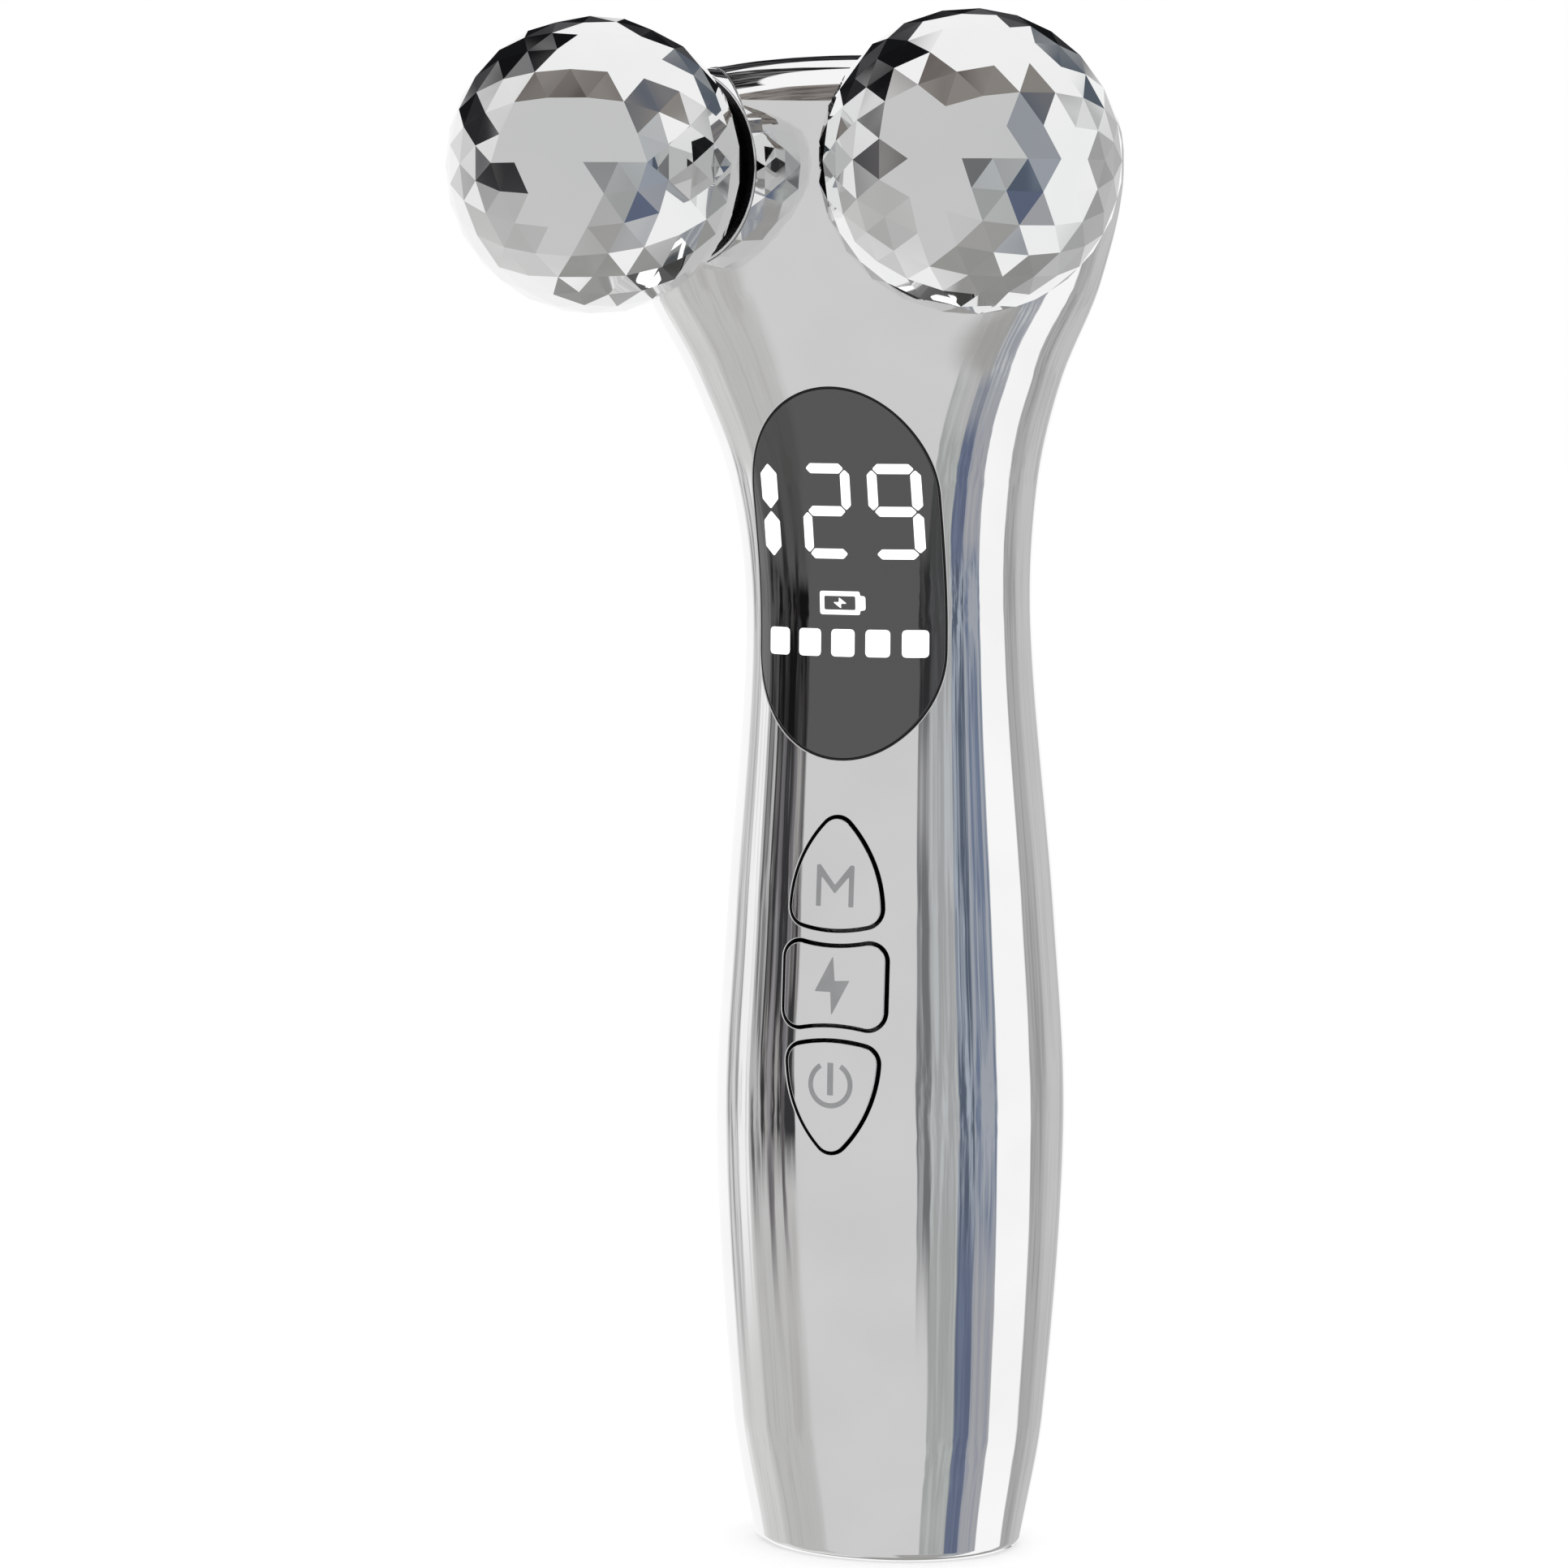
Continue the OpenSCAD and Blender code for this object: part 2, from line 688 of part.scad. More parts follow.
button_t = wall + 0.2; // a button is a little thicker than the shell
tab_gap = 0.15;
tab_t = 0.8;
tab_reach = 0.9;
tab_h = 4;
pad_forward = 11.4; // front of the pad's domes
stem_r = 1.6;
module button(place) {
    z = button_mid(place);
    width = place == 0 ? middle_w : point_w;
    half_x = width / 2 + tab_reach;
    half_z = (place == 0 ? middle_h : point_h) / 2 + stem_drop + corner;
    stem_front = -front_y(0, z, button_t) + tab_gap;
    color("silver") union() {
        intersection() {
            front_slab(z - half_z, z + half_z, half_x, 0, button_t);
            through_front() button_outline(place);
        }
        front_slab(z - tab_h / 2, z + tab_h / 2, half_x, wall + tab_gap, wall + tab_gap + tab_t, 3);
        screw_way(0, z, stem_front, pad_forward + travel + slip, stem_r);
    }
}

// ---------- shells ----------
rib_t = 1.6;
cradle_wall = 1.2;
cradle_r = cell_d / 2 + seat + cradle_wall;
board_back = board_forward - board_t;
cell_gap = 0.6; // room between the cell and the board
board_x = half_w(waist_z, wall) *
    (1 - ((board_forward - waist_lean) / front_d(waist_z, wall)) ^ waist_section) ^ (1 / waist_section);
board_w = 2 * (board_x - board_gap);
cell_y = cell_d / 2 + cell_gap - board_back;
board_edge = 1.8; // distance from the board's edges to its screws
low_screws = [for (x = [-1, 1]) [x * (board_w / 2 - board_edge), board_z + 3]];
high_screws = [for (x = [-1, 1]) [x * (board_w / 2 - board_edge), board_top - 2.4]];
post_r = 1.9;

// Tabs on the front shell that snap into pockets of the rear one, along the parting line.
snap_heights = [belly_z * 0.49, belly_z + 2, (belly_z + waist_z) / 2 + 1.5, waist_z];
snap_t = 1; // a tab's thickness
snap_h = 5; // its height
snap_past = 3; // how far it reaches past the parting line
snap_root = 4; // and how far in front of it it starts
snap_in = 1.1; // its distance from the wall at the parting line
catch_t = 1; // thickness of the catch at its end
catch_out = 0.3; // how far the catch enters the wall
module snap_tab(z, side) {
    mirror([side < 0 ? 1 : 0, 0, 0]) translate([half_w(z, wall) - snap_in, -lean(z), z - snap_h / 2]) {
        translate([-snap_t, -snap_root, 0]) cube([snap_t, snap_root + snap_past, snap_h]);
        translate([-snap_t, -snap_root, 0]) cube([snap_t + snap_in + wall / 3, snap_root - 0.6, snap_h]);
        translate([-tiny, snap_past - catch_t, 0]) cube([snap_in + catch_out, catch_t, snap_h]);
    }
}
module snap_pocket(z, side) {
    mirror([side < 0 ? 1 : 0, 0, 0])
        translate([half_w(z, wall) - snap_in, snap_past - catch_t - lean(z) - seat, z - snap_h / 2 - seat])
            cube([snap_in + catch_out + seat, catch_t + 2 * seat, snap_h + 2 * seat]);
}

module front_shell() {
    color("silver") difference() {
        union() {
            half_shell(-1);
            sleeves();
            for (z = snap_heights, side = [-1, 1]) snap_tab(z, side);
        }
        for (side = [-1, 1]) roller_cut(side);
        intersection() {
            display_slab(-1, window_t + gasket_t);
            through_front() window_outline(gasket_edge);
        }
        through_front() window_outline(-window_ledge);
        for (place = [-1, 0, 1]) through_front() button_outline(place, button_gap);
    }
}

// Posts that stand on the rear shell's wall and end at a piece that is screwed to them.
module post(x, z, face) {
    translate([x, -face, z]) rotate([-90, 0, 0])
        cylinder(r = post_r, h = face + rear_y(x, z, wall / 2), $fn = 40);
}

board_screw_l = 6;
module board_screw_hole(p) {
    screw_way(p[0], p[1], board_back + 1, board_forward - board_screw_l - seat, screw_r + pilot);
}

module rib(z) {
    translate([0, 0, z]) linear_extrude(rib_t) difference() {
        polygon([for (p = side_ring(z, wall / 2, 1)) [p[0], p[1] < cell_y ? cell_y : p[1]]]);
        translate([0, cell_y]) circle(r = cradle_r + seat, $fn = 72);
    }
}

cradle_ribs = [cell_z + 8, cell_z + cell_h - 9];
module rear_shell() {
    color("silver") difference() {
        union() {
            half_shell(1);
            for (z = cradle_ribs) rib(z);
            for (p = high_screws) post(p[0], p[1], board_back);
            for (z = carrier_screw_z) post(0, head_z + z, web_back);
        }
        for (z = snap_heights, side = [-1, 1]) snap_pocket(z, side);
        for (p = high_screws) board_screw_hole(p);
        for (z = carrier_screw_z)
            screw_way(0, head_z + z, web_back + 1, web_front - carrier_screw_l - 0.3, screw_r + pilot);
    }
}

cap_t = 2.4;
spigot_h = 4;
spigot_t = 1.2;
port_y = 4.4; // place of the socket, behind the middle of the foot
port_clear = 0.12;
port_board_w = 14;
port_board_t = 1;
port_board_h = 15;
port_board_y = port_y - port_t / 2 - port_board_t;
rail_w = 2; // rails on the cap that hold the small board's edges
rail_h = 9;
rail_wall = 1.2;
function whole_ring(z, in) =
    concat(side_ring(z, in, -1), [for (k = [ring_parts - 1:-1:1]) side_ring(z, in, 1)[k]]);
function flat(points) = [for (p = points) [p[0], p[1]]];
module stadium(w, t) {
    square([w - t, t], center = true);
    for (s = [-1, 1]) translate([s * (w - t) / 2, 0]) circle(r = t / 2, $fn = 40);
}
module end_cap() {
    color("silver") difference() {
        union() {
            linear_extrude(cap_t) polygon(flat(whole_ring(0, wall + seat)));
            linear_extrude(cap_t + spigot_h) difference() {
                polygon(flat(whole_ring(0, wall + seat)));
                polygon(flat(whole_ring(0, wall + seat + spigot_t)));
            }
            for (s = [-1, 1])
                translate([s * port_board_w / 2 - rail_w / 2, port_board_y - rail_wall, cap_t - tiny])
                    cube([rail_w, port_board_t + 2 * rail_wall, rail_h]);
        }
        translate([0, port_y, -1]) linear_extrude(cap_t + 2)
            stadium(port_w + 2 * port_clear, port_t + 2 * port_clear);
        translate([-port_board_w / 2 - slip, port_board_y - slip, cap_t])
            cube([port_board_w + 2 * slip, port_board_t + 2 * slip, 2 * rail_h]);
    }
}

// ---------- electronics ----------
module main_board() {
    color("darkgreen") difference() {
        translate([-board_w / 2, -board_forward, board_z]) cube([board_w, board_t, board_top - board_z]);
        for (p = concat(low_screws, high_screws))
            screw_way(p[0], p[1], board_forward + 1, board_back - 1, screw_r + slip);
    }
}

module board_screws() {
    color("gray") for (p = concat(low_screws, high_screws)) screw(p[0], p[1], board_forward, board_screw_l);
}

switch_w = 6;
pad_t = 0.7;
dome_t = 0.8;
dome_r = 1.4;
pad_face = pad_forward - dome_t;
switch_h = pad_face - pad_t - board_forward;
module tact_switches() {
    color("dimgray") for (place = [-1, 0, 1])
        translate([-switch_w / 2, -board_forward - switch_h, button_mid(place) - switch_w / 2])
            cube([switch_w, switch_h, switch_w]);
}

pad_w = 9.4;
module button_pad() {
    low = button_mid(-1) - switch_w / 2 - 1;
    high = button_mid(1) + switch_w / 2 + 1;
    color("white") {
        translate([-pad_w / 2, -pad_face, low]) cube([pad_w, pad_t, high - low]);
        for (place = [-1, 0, 1]) screw_way(0, button_mid(place), pad_forward, pad_face - tiny, dome_r);
    }
}

module battery_cell() {
    nub = 1.2;
    color("steelblue") translate([0, cell_y, cell_z]) {
        cylinder(r = cell_d / 2, h = cell_h - nub, $fn = 72);
        cylinder(r = cell_d / 5, h = cell_h, $fn = 40);
    }
}

// A trough that carries the cell and holds the lower end of the main board.
module battery_cradle() {
    low = cell_z - seat - cradle_wall;
    high = cradle_top;
    front = cell_y + board_back;
    color("dimgray") difference() {
        union() {
            translate([0, 0, low]) linear_extrude(high - low) trough(cradle_r, front);
            for (p = low_screws) {
                screw_way(p[0], p[1], board_back, -cell_y, post_r);
                // An arm that joins the post to the trough, however far apart they stand.
                translate([min(0, p[0]), cell_y - cradle_wall, p[1] - cradle_wall / 2])
                    cube([abs(p[0]), cradle_wall, cradle_wall]);
            }
        }
        translate([0, 0, cell_z - seat]) linear_extrude(cell_h + 2 * seat)
            trough(cell_d / 2 + seat, front + 1);
        translate([-cradle_r - 1, -board_back - 1, low - 1])
            cube([2 * cradle_r + 2, front, board_z - low + 1 - seat]);
        for (p = low_screws) board_screw_hole(p);
    }
}
module trough(r, front) {
    intersection() {
        translate([0, cell_y]) circle(r = r, $fn = 72);
        translate([-r, cell_y - front]) square([2 * r, front + r]);
    }
    translate([-r, cell_y - front]) square([2 * r, front]);
}

transformer = [10, 7, 9]; // width, depth and height
module pulse_transformer() {
    limb = transformer[0] * 0.18;
    core_d = transformer[1] * 0.6;
    wound = transformer[2] - 2 * limb;
    turn_r = 1.2;
    color("saddlebrown") translate([0, transformer[1] / 2 - board_back, waist_z - transformer[2]]) {
        difference() {
            translate([-transformer[0] / 2, -core_d / 2, 0]) cube([transformer[0], core_d, transformer[2]]);
            translate([limb - transformer[0] / 2, -core_d, limb])
                cube([transformer[0] - 2 * limb, 2 * core_d, wound]);
        }
        translate([0, 0, limb - tiny]) linear_extrude(wound + 2 * tiny) offset(r = turn_r, $fn = 32)
            square([transformer[0] - 2 * limb - 2 * turn_r - 0.6, transformer[1] - 2 * turn_r], center = true);
    }
}

port_sink = 0.4;
port_h = 7.35;
port_wall = 0.3;
module charge_port() {
    color("lightgray") translate([0, port_y, port_sink]) difference() {
        linear_extrude(port_h) stadium(port_w, port_t);
        translate([0, 0, -1]) linear_extrude(port_h - port_wall + 1) difference() {
            stadium(port_w - 2 * port_wall, port_t - 2 * port_wall);
            square([port_w * 0.72, 0.7], center = true);
        }
    }
}

module port_board() {
    color("darkgreen") translate([-port_board_w / 2, port_board_y, cap_t])
        cube([port_board_w, port_board_t, port_board_h]);
}

// ---------- leads ----------
lead_sides = 8;
function along(path, i) =
    let (a = path[max(i - 1, 0)], b = path[min(i + 1, len(path) - 1)]) (b - a) / norm(b - a);
function lead_ring(c, d) =
    let (u = cross(d, [1, 0, 0]), v = u / norm(u), w = cross(d, v), step = 360 / lead_sides)
    [for (k = [0:lead_sides - 1]) c + lead_d / 2 * (cos(k * step) * v + sin(k * step) * w)];
module lead(path) {
    n = len(path);
    points = [for (i = [0:n - 1]) each lead_ring(path[i], along(path, i))];
    skin = [
        for (i = [0:n - 2], k = [0:lead_sides - 1])
            let (a = i * lead_sides + k, b = i * lead_sides + (k + 1) % lead_sides)
            each [[a, b, b + lead_sides], [a, b + lead_sides, a + lead_sides]]
    ];
    ends = [
        [for (k = [lead_sides - 1:-1:0]) k],
        [for (k = [0:lead_sides - 1]) (n - 1) * lead_sides + k],
    ];
    polyhedron(points, concat(skin, ends));
}
// A soft bend through a few points chosen by hand.
function eased_path(p, steps = 4) = [
    for (i = [0:len(p) - 2], k = [0:steps - (i == len(p) - 2 ? 0 : 1)])
        let (
            a = p[max(i - 1, 0)], b = p[i], c = p[i + 1], d = p[min(i + 2, len(p) - 1)], t = k / steps
        )
        0.5 * (2 * b + (c - a) * t + (2 * a - 5 * b + 4 * c - d) * t ^ 2 + (3 * b - a - 3 * c + d) * t ^ 3)
];
// A lead from its first point to its last, straight at both ends, mirrored for the other side.
module pair_of_leads(first, route, end) {
    for (s = [-1, 1])
        lead([for (p = concat([first], eased_path(route), [end])) [s * p[0], p[1], p[2]]]);
}
stub = 0.6; // straight end of a lead where it is soldered on
back_of_port = port_board_y + port_board_t;
contact_mid = axle_back + contact_t / 2;
contact_foot = [
    ball_spacing / 2 - contact_mid * sin(splay),
    contact_mid * cos(splay) - ball_forward,
    head_z + contact_up - contact_h,
];
module electrode_leads() {
    first = [4, -board_back, board_top - 10];
    color("red") pair_of_leads(
        first,
        [
            first + [0, stub, 0], first + [0.3, 1.8, 1.4], first + [2, 2, 10],
            contact_foot + [-3, 0.8, -9], contact_foot - [0, 0, 3], contact_foot - [0, 0, stub],
        ],
        contact_foot
    );
}
cradle_top = cell_z + cell_h + seat + cradle_wall;
module battery_leads() {
    from_cell = [2, 3, cradle_top];
    on_board = [4, -board_back, cradle_top + 6.2];
    from_port = [5, back_of_port, 14];
    to_board = [board_w / 2 - 1.2, -board_back, belly_z + 10.3];
    color("black") {
        pair_of_leads(
            from_cell,
            [
                from_cell + [0, 0, stub], [2.4, 2.6, cradle_top + 2.7],
                [4, -1, cradle_top + 5.7], on_board + [0, stub, 0],
            ],
            on_board
        );
        pair_of_leads(
            from_port,
            [
                from_port + [0, stub, 0], from_port + [0.6, 1.8, 1], [9, 4.8, 19], [12.6, 1, 29],
                [12.4, -2, belly_z], to_board + [0.2, 1.8, -1], to_board + [0, stub, 0],
            ],
            to_board
        );
    }
}

front_shell();
rear_shell();
end_cap();
display_window();
window_gasket();
display_module();
display_digits();
display_symbols();
main_board();
tact_switches();
button_pad();
board_screws();
battery_cell();
battery_cradle();
pulse_transformer();
charge_port();
port_board();
axle_carrier();
carrier_screws();
axle(-1);  // left_axle
axle(1);  // right_axle
collar(-1);  // left_collar
collar(1);  // right_collar
insulator(-1);  // left_insulator
insulator(1);  // right_insulator
washer(-1);  // left_washer
washer(1);  // right_washer
clip(-1);  // left_clip
clip(1);  // right_clip
contact(-1);  // left_contact
contact(1);  // right_contact
electrode_leads();
battery_leads();
ball(-1);  // left_ball
ball(1);  // right_ball
bush(-1);  // left_bush
bush(1);  // right_bush
button(1);  // mode_button
button(0);  // pulse_button
button(-1);  // power_button
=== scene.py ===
import math

import bmesh
import bpy
import numpy as np
from mathutils import Matrix, Vector
from mathutils.geometry import delaunay_2d_cdt


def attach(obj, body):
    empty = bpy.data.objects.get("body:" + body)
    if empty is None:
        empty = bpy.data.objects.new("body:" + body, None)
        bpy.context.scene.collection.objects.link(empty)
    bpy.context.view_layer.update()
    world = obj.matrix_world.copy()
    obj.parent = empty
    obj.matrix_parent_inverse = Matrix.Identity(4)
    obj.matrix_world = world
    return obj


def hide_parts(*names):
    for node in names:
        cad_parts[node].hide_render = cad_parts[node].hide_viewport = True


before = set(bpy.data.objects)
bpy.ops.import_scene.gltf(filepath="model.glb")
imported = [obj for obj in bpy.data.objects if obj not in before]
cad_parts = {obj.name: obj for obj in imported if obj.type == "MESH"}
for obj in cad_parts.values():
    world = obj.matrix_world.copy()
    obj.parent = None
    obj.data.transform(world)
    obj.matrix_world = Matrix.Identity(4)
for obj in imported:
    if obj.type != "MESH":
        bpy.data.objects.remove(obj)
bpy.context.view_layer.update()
mm = 0.001
print("frame loaded:", len(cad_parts), "nodes")


def linear(hexColour):
    values = [int(hexColour[i:i + 2], 16) / 255 for i in (1, 3, 5)]
    return [v / 12.92 if v <= 0.04045 else ((v + 0.055) / 1.055) ** 2.4 for v in values] + [1.0]


# An input is a value, or a node or socket to link from. Stops are a ramp's places and hex colours.
def addNode(tree, kind, inputs=None, stops=(), **settings):
    node = tree.nodes.new(kind)
    for key, value in settings.items():
        setattr(node, key, value)
    if stops:
        for element, (position, colour) in zip(node.color_ramp.elements, stops):
            element.position, element.color = position, linear(colour)
    for key, value in (inputs or {}).items():
        if isinstance(value, bpy.types.Node):
            value = value.outputs[0]
        if isinstance(value, bpy.types.NodeSocket):
            tree.links.new(value, node.inputs[key])
        else:
            node.inputs[key].default_value = value
    return node


def newObject(name, data):
    made = bpy.data.objects.new(name, data)
    bpy.context.scene.collection.objects.link(made)
    return made


def newMaterial(name):
    material = bpy.data.materials.new(name)
    material.use_nodes = True
    material.node_tree.nodes.clear()
    return material, material.node_tree


# A noise pattern on Object coordinates whose grains are the given size in millimetres.
def grain(tree, size, detail, stretch=(1, 1, 1)):
    place = addNode(tree, "ShaderNodeTexCoord").outputs["Object"]
    spread = addNode(tree, "ShaderNodeMapping", {"Vector": place, "Scale": stretch})
    settings = {"Vector": spread, "Scale": 1 / (size * mm), "Detail": detail, "Roughness": 0.55}
    return addNode(tree, "ShaderNodeTexNoise", settings)


# Every finish here: two close shades over one pattern, gloss and relief over a finer one or the same.
# A gloss is a roughness and its share either way, a relief is a height and a strength.
def makeFinish(name, shades, tone, gloss=None, fine=None, relief=None, glow=0, **sockets):
    material, tree = newMaterial(name)
    pattern = grain(tree, *tone)
    detail = grain(tree, *fine) if fine else pattern
    low, high = shades
    given = {"Base Color": addNode(tree, "ShaderNodeValToRGB", {"Fac": pattern}, ((0.35, low), (0.65, high)))}
    if gloss:
        middle, less, more = gloss
        given["Roughness"] = addNode(
            tree, "ShaderNodeMapRange", {"Value": detail, "To Min": middle * less, "To Max": middle * more}
        )
    if relief:
        height, strength = relief
        given["Normal"] = addNode(
            tree, "ShaderNodeBump", {"Height": detail, "Strength": strength, "Distance": height * mm}
        )
    if glow:
        given.update({"Emission Color": given["Base Color"], "Emission Strength": glow})
    shader = addNode(tree, "ShaderNodeBsdfPrincipled", {**given, **sockets})
    addNode(tree, "ShaderNodeOutputMaterial", {"Surface": shader})
    return material


# Chromium plate over polished moulded ABS: a mirror with a very slight, slow change of tone and gloss.
def platedChrome(name, low, high, roughness):
    gloss = (roughness, 0.7, 1.3)
    return makeFinish(name, (low, high), (14, 2), gloss, Metallic=1.0)


# Moulded plastic or rubber: a spark-eroded grain breaks up its highlight, drawn coarser than real to show.
def mouldedPlastic(name, low, high, roughness, grit, height):
    gloss, relief = (roughness, 0.85, 1.15), (height, 0.6)
    return makeFinish(name, (low, high), (grit * 12, 2), gloss, (grit, 3), relief, IOR=1.5)


# Drawn or stamped metal: fine lines along one direction, drawn coarser than real to show.
def drawnMetal(name, low, high, roughness, line, stretch):
    gloss, relief = (roughness, 0.8, 1.25), (0.004, 0.5)
    return makeFinish(name, (low, high), (line, 2, stretch), gloss, None, relief, Metallic=1.0)


shellChrome = platedChrome("chrome_plated_ABS_shell", "#F2F2F2", "#F7F7F7", 0.03)
rollerChrome = platedChrome("chrome_plated_roller", "#EAEBEB", "#EFEFEF", 0.02)
trimChrome = platedChrome("chrome_plated_rim", "#F0F1F2", "#F6F6F7", 0.04)
capPlastic = mouldedPlastic("moulded_ABS_grey_cap", "#8E9092", "#98999B", 0.38, 0.5, 0.01)
blackSeal = mouldedPlastic("black_silicone_seal", "#0B0B0C", "#101011", 0.45, 0.4, 0.006)
# Black acetal for the axle insulators; on the keys' side walls the same black is painted shade that darkens
# the gaps round the keys.
blackAcetalAndGapShade = mouldedPlastic("moulded_black_acetal_and_painted_gap_shade", "#0C0C0D", "#131314", 0.32, 0.5, 0.008)
# Dark grey ABS for the inner parts; on the housing's inside, rims and openings' walls the same grey is
# painted shade that darkens the gaps.
innerPlasticAndGapShade = mouldedPlastic("moulded_ABS_dark_grey_and_painted_gap_shade", "#2A2B2D", "#333436", 0.45, 0.6, 0.012)
bushPlastic = mouldedPlastic("acetal_bush_natural", "#E6E2D6", "#EFEBE0", 0.3, 0.5, 0.006)
padSilicone = mouldedPlastic("silicone_key_pad", "#D9DBDA", "#E4E5E4", 0.55, 0.6, 0.01)
boardGreen = mouldedPlastic("solder_mask_on_glass_epoxy", "#0E4A2A", "#146036", 0.35, 0.35, 0.01)
cellSleeve = mouldedPlastic("shrink_film_cell_sleeve", "#2B5E97", "#3168A5", 0.28, 0.8, 0.01)
coilCopper = drawnMetal("enamelled_copper_winding", "#9A5426", "#B9703A", 0.32, 0.25, (1, 1, 8))
screwSteel = drawnMetal("zinc_plated_steel", "#A9ACAF", "#BEC0C2", 0.3, 0.3, (1, 6, 1))
contactBrass = drawnMetal("phosphor_bronze_leaf", "#B98B45", "#CFA257", 0.28, 0.2, (6, 1, 1))
leadRed = mouldedPlastic("red_PVC_lead", "#A61E1C", "#BC2A26", 0.4, 0.4, 0.006)
leadBlack = mouldedPlastic("black_PVC_lead", "#141415", "#1D1D1E", 0.4, 0.4, 0.006)
iconGrey = mouldedPlastic("etched_chrome_icon", "#9B9C9D", "#A4A5A6", 0.6, 0.3, 0.004)
# Smoked acrylic with a thin half-mirror coat: near black, with a clear, dim picture of the room in it.
smokedWindow = makeFinish(
    "smoked_half_mirror_acrylic", ("#060606", "#090909"), (25, 1), IOR=2.2, Roughness=0.03
)
# Lit segments: an even white glow through a diffuser, hardly uneven.
litWhite = makeFinish(
    "lit_white_diffuser", ("#FBFCFD", "#FFFFFF"), (3, 1), glow=0.75, IOR=1.45, Roughness=0.4
)
print("materials made:", len(bpy.data.materials))


# The handle's form, in millimetres: each section is height, half width, front depth, rear depth,
# forward lean and fullness, and an eased section lies between two others at a share for each value.
handle = {
    "foot": [0, 14.5, 12, 12.2, 1, 2],
    "belly": [45, 18.6, 17, 16, 0, 2.2],
    "waist": [98, 15.1, 12.9, 12.6, 0.8, 2.3],
    "head": [146, 27.6, 15.4, 7.6, 6, 2.5],
    "crown": 11.5,
    "crownRound": 6.2,
    "crownSoft": 8.6,
    "footRound": 1.0,
    "wall": 1.8,
}


def eased(a, b, share):
    return [p + (q - p) * s for p, q, s in zip(a, b, share)]


foot, belly, waist, head = (handle[k] for k in ("foot", "belly", "waist", "head"))
sections = np.array([
    foot,
    eased(foot, belly, [0.31, 0.57, 0.48, 0.5, 0.3, 0.5]),
    belly,
    eased(belly, waist, [0.43, 0.35, 0.26, 0.22, 0, 0.2]),
    waist,
    eased(waist, head, [0.31, 0.09, 0.16, 0.02, 0.24, 0.2]),
    eased(waist, head, [0.54, 0.38, 0.26, 0.32, 0.63, 0.4]),
    eased(waist, head, [0.75, 0.78, 0.46, 0.65, 0.93, 0.75]),
    head,
], float)
slopes = np.array([
    (sections[i + 1] - sections[max(i - 1, 0)]) / (sections[i + 1][0] - sections[max(i - 1, 0)][0])
    for i in range(len(sections) - 1)
] + [np.zeros(6)])
headZ = head[0]
topZ = headZ + handle["crown"]


def sectionAt(z):
    z = np.clip(np.asarray(z, float), sections[0, 0], headZ)
    i = np.clip(np.searchsorted(sections[:, 0], z, side="right") - 1, 0, len(sections) - 2)
    p, q = sections[i], sections[i + 1]
    h = (q[..., 0] - p[..., 0])[..., None]
    t = (z - p[..., 0])[..., None] / h
    out = (2 * t**3 - 3 * t**2 + 1) * p + (t**3 - 2 * t**2 + t) * h * slopes[i]
    out = out + (3 * t**2 - 2 * t**3) * q + (t**3 - t**2) * h * slopes[i + 1]
    return [out[..., k] for k in range(1, 6)]


def quarterDrop(r, d):
    return r - np.sqrt(np.maximum(r * r - d * d, 0))


# Half width, depth on one side, lean and fullness at a height; side -1 is the front, 1 the rear.
def ringAt(z, side, inset=0.0):
    z = np.asarray(z, float)
    width, front, rear, leanBy, fullness = sectionAt(z)
    footIn = 0 if inset > 0 else quarterDrop(handle["footRound"], np.maximum(handle["footRound"] - z, 0))
    turn = max(handle["crownSoft" if side < 0 else "crownRound"] - inset, 0.4)
    crownIn = quarterDrop(turn, np.maximum(z - topZ + turn + inset, 0))
    q = np.clip((z - headZ) / (topZ - inset - headZ), 0, 1)
    crownWidth = (head[1] - inset) * np.maximum(1 - q**3, 0) ** (1 / 3)
    width = np.where(z <= headZ, width - inset - footIn, crownWidth)
    depth = (front if side < 0 else rear) - inset - footIn - crownIn
    return width, depth, leanBy, fullness


def frontY(x, z, inset=0.0):
    width, depth, leanBy, n = ringAt(z, -1, inset)
    return -leanBy - depth * np.maximum(1 - (np.abs(x) / width) ** n, 0) ** (1 / n)


crownSpan = 18.0  # length of skin given to the crown above the head's widest line
edgeBends = [math.radians(bend) for bend in (0, 30, 60, 90)]  # a rolled edge, from face to wall


def levelOf(v, inset):
    phi = np.clip((v - headZ) / crownSpan, 0, 1) * math.pi / 2
    return np.where(v <= headZ, v, headZ + (topZ - inset - headZ) * np.sin(phi) ** (2 / 3))


# A point of the skin from its place round the ring, u from 0 to 1, and up the handle, v.
def skinPoint(u, v, side, inset=0.0):
    z = levelOf(v, inset)
    width, depth, leanBy, n = ringAt(z, side, inset)
    c, s = np.cos(math.pi * u), np.abs(np.sin(math.pi * u))
    s = np.where(s < 1e-9, 0, s)
    x = width * np.sign(c) * np.abs(c) ** (2 / n)
    return np.stack([x, -leanBy + side * depth * s ** (2 / n), z], -1)


def placeOnSkin(points):
    x, z = points[:, 0], points[:, 2]
    width, depth, leanBy, n = ringAt(z, -1)
    c = np.sign(x) * np.clip(np.abs(x) / width, 0, 1) ** (n / 2)
    q = np.clip((z - headZ) / (topZ - headZ), 0, 1)
    v = np.where(z <= headZ, z, headZ + crownSpan * np.arcsin(q ** 1.5) / (math.pi / 2))
    return np.stack([np.arccos(np.clip(c, -1, 1)) / math.pi, v], -1)


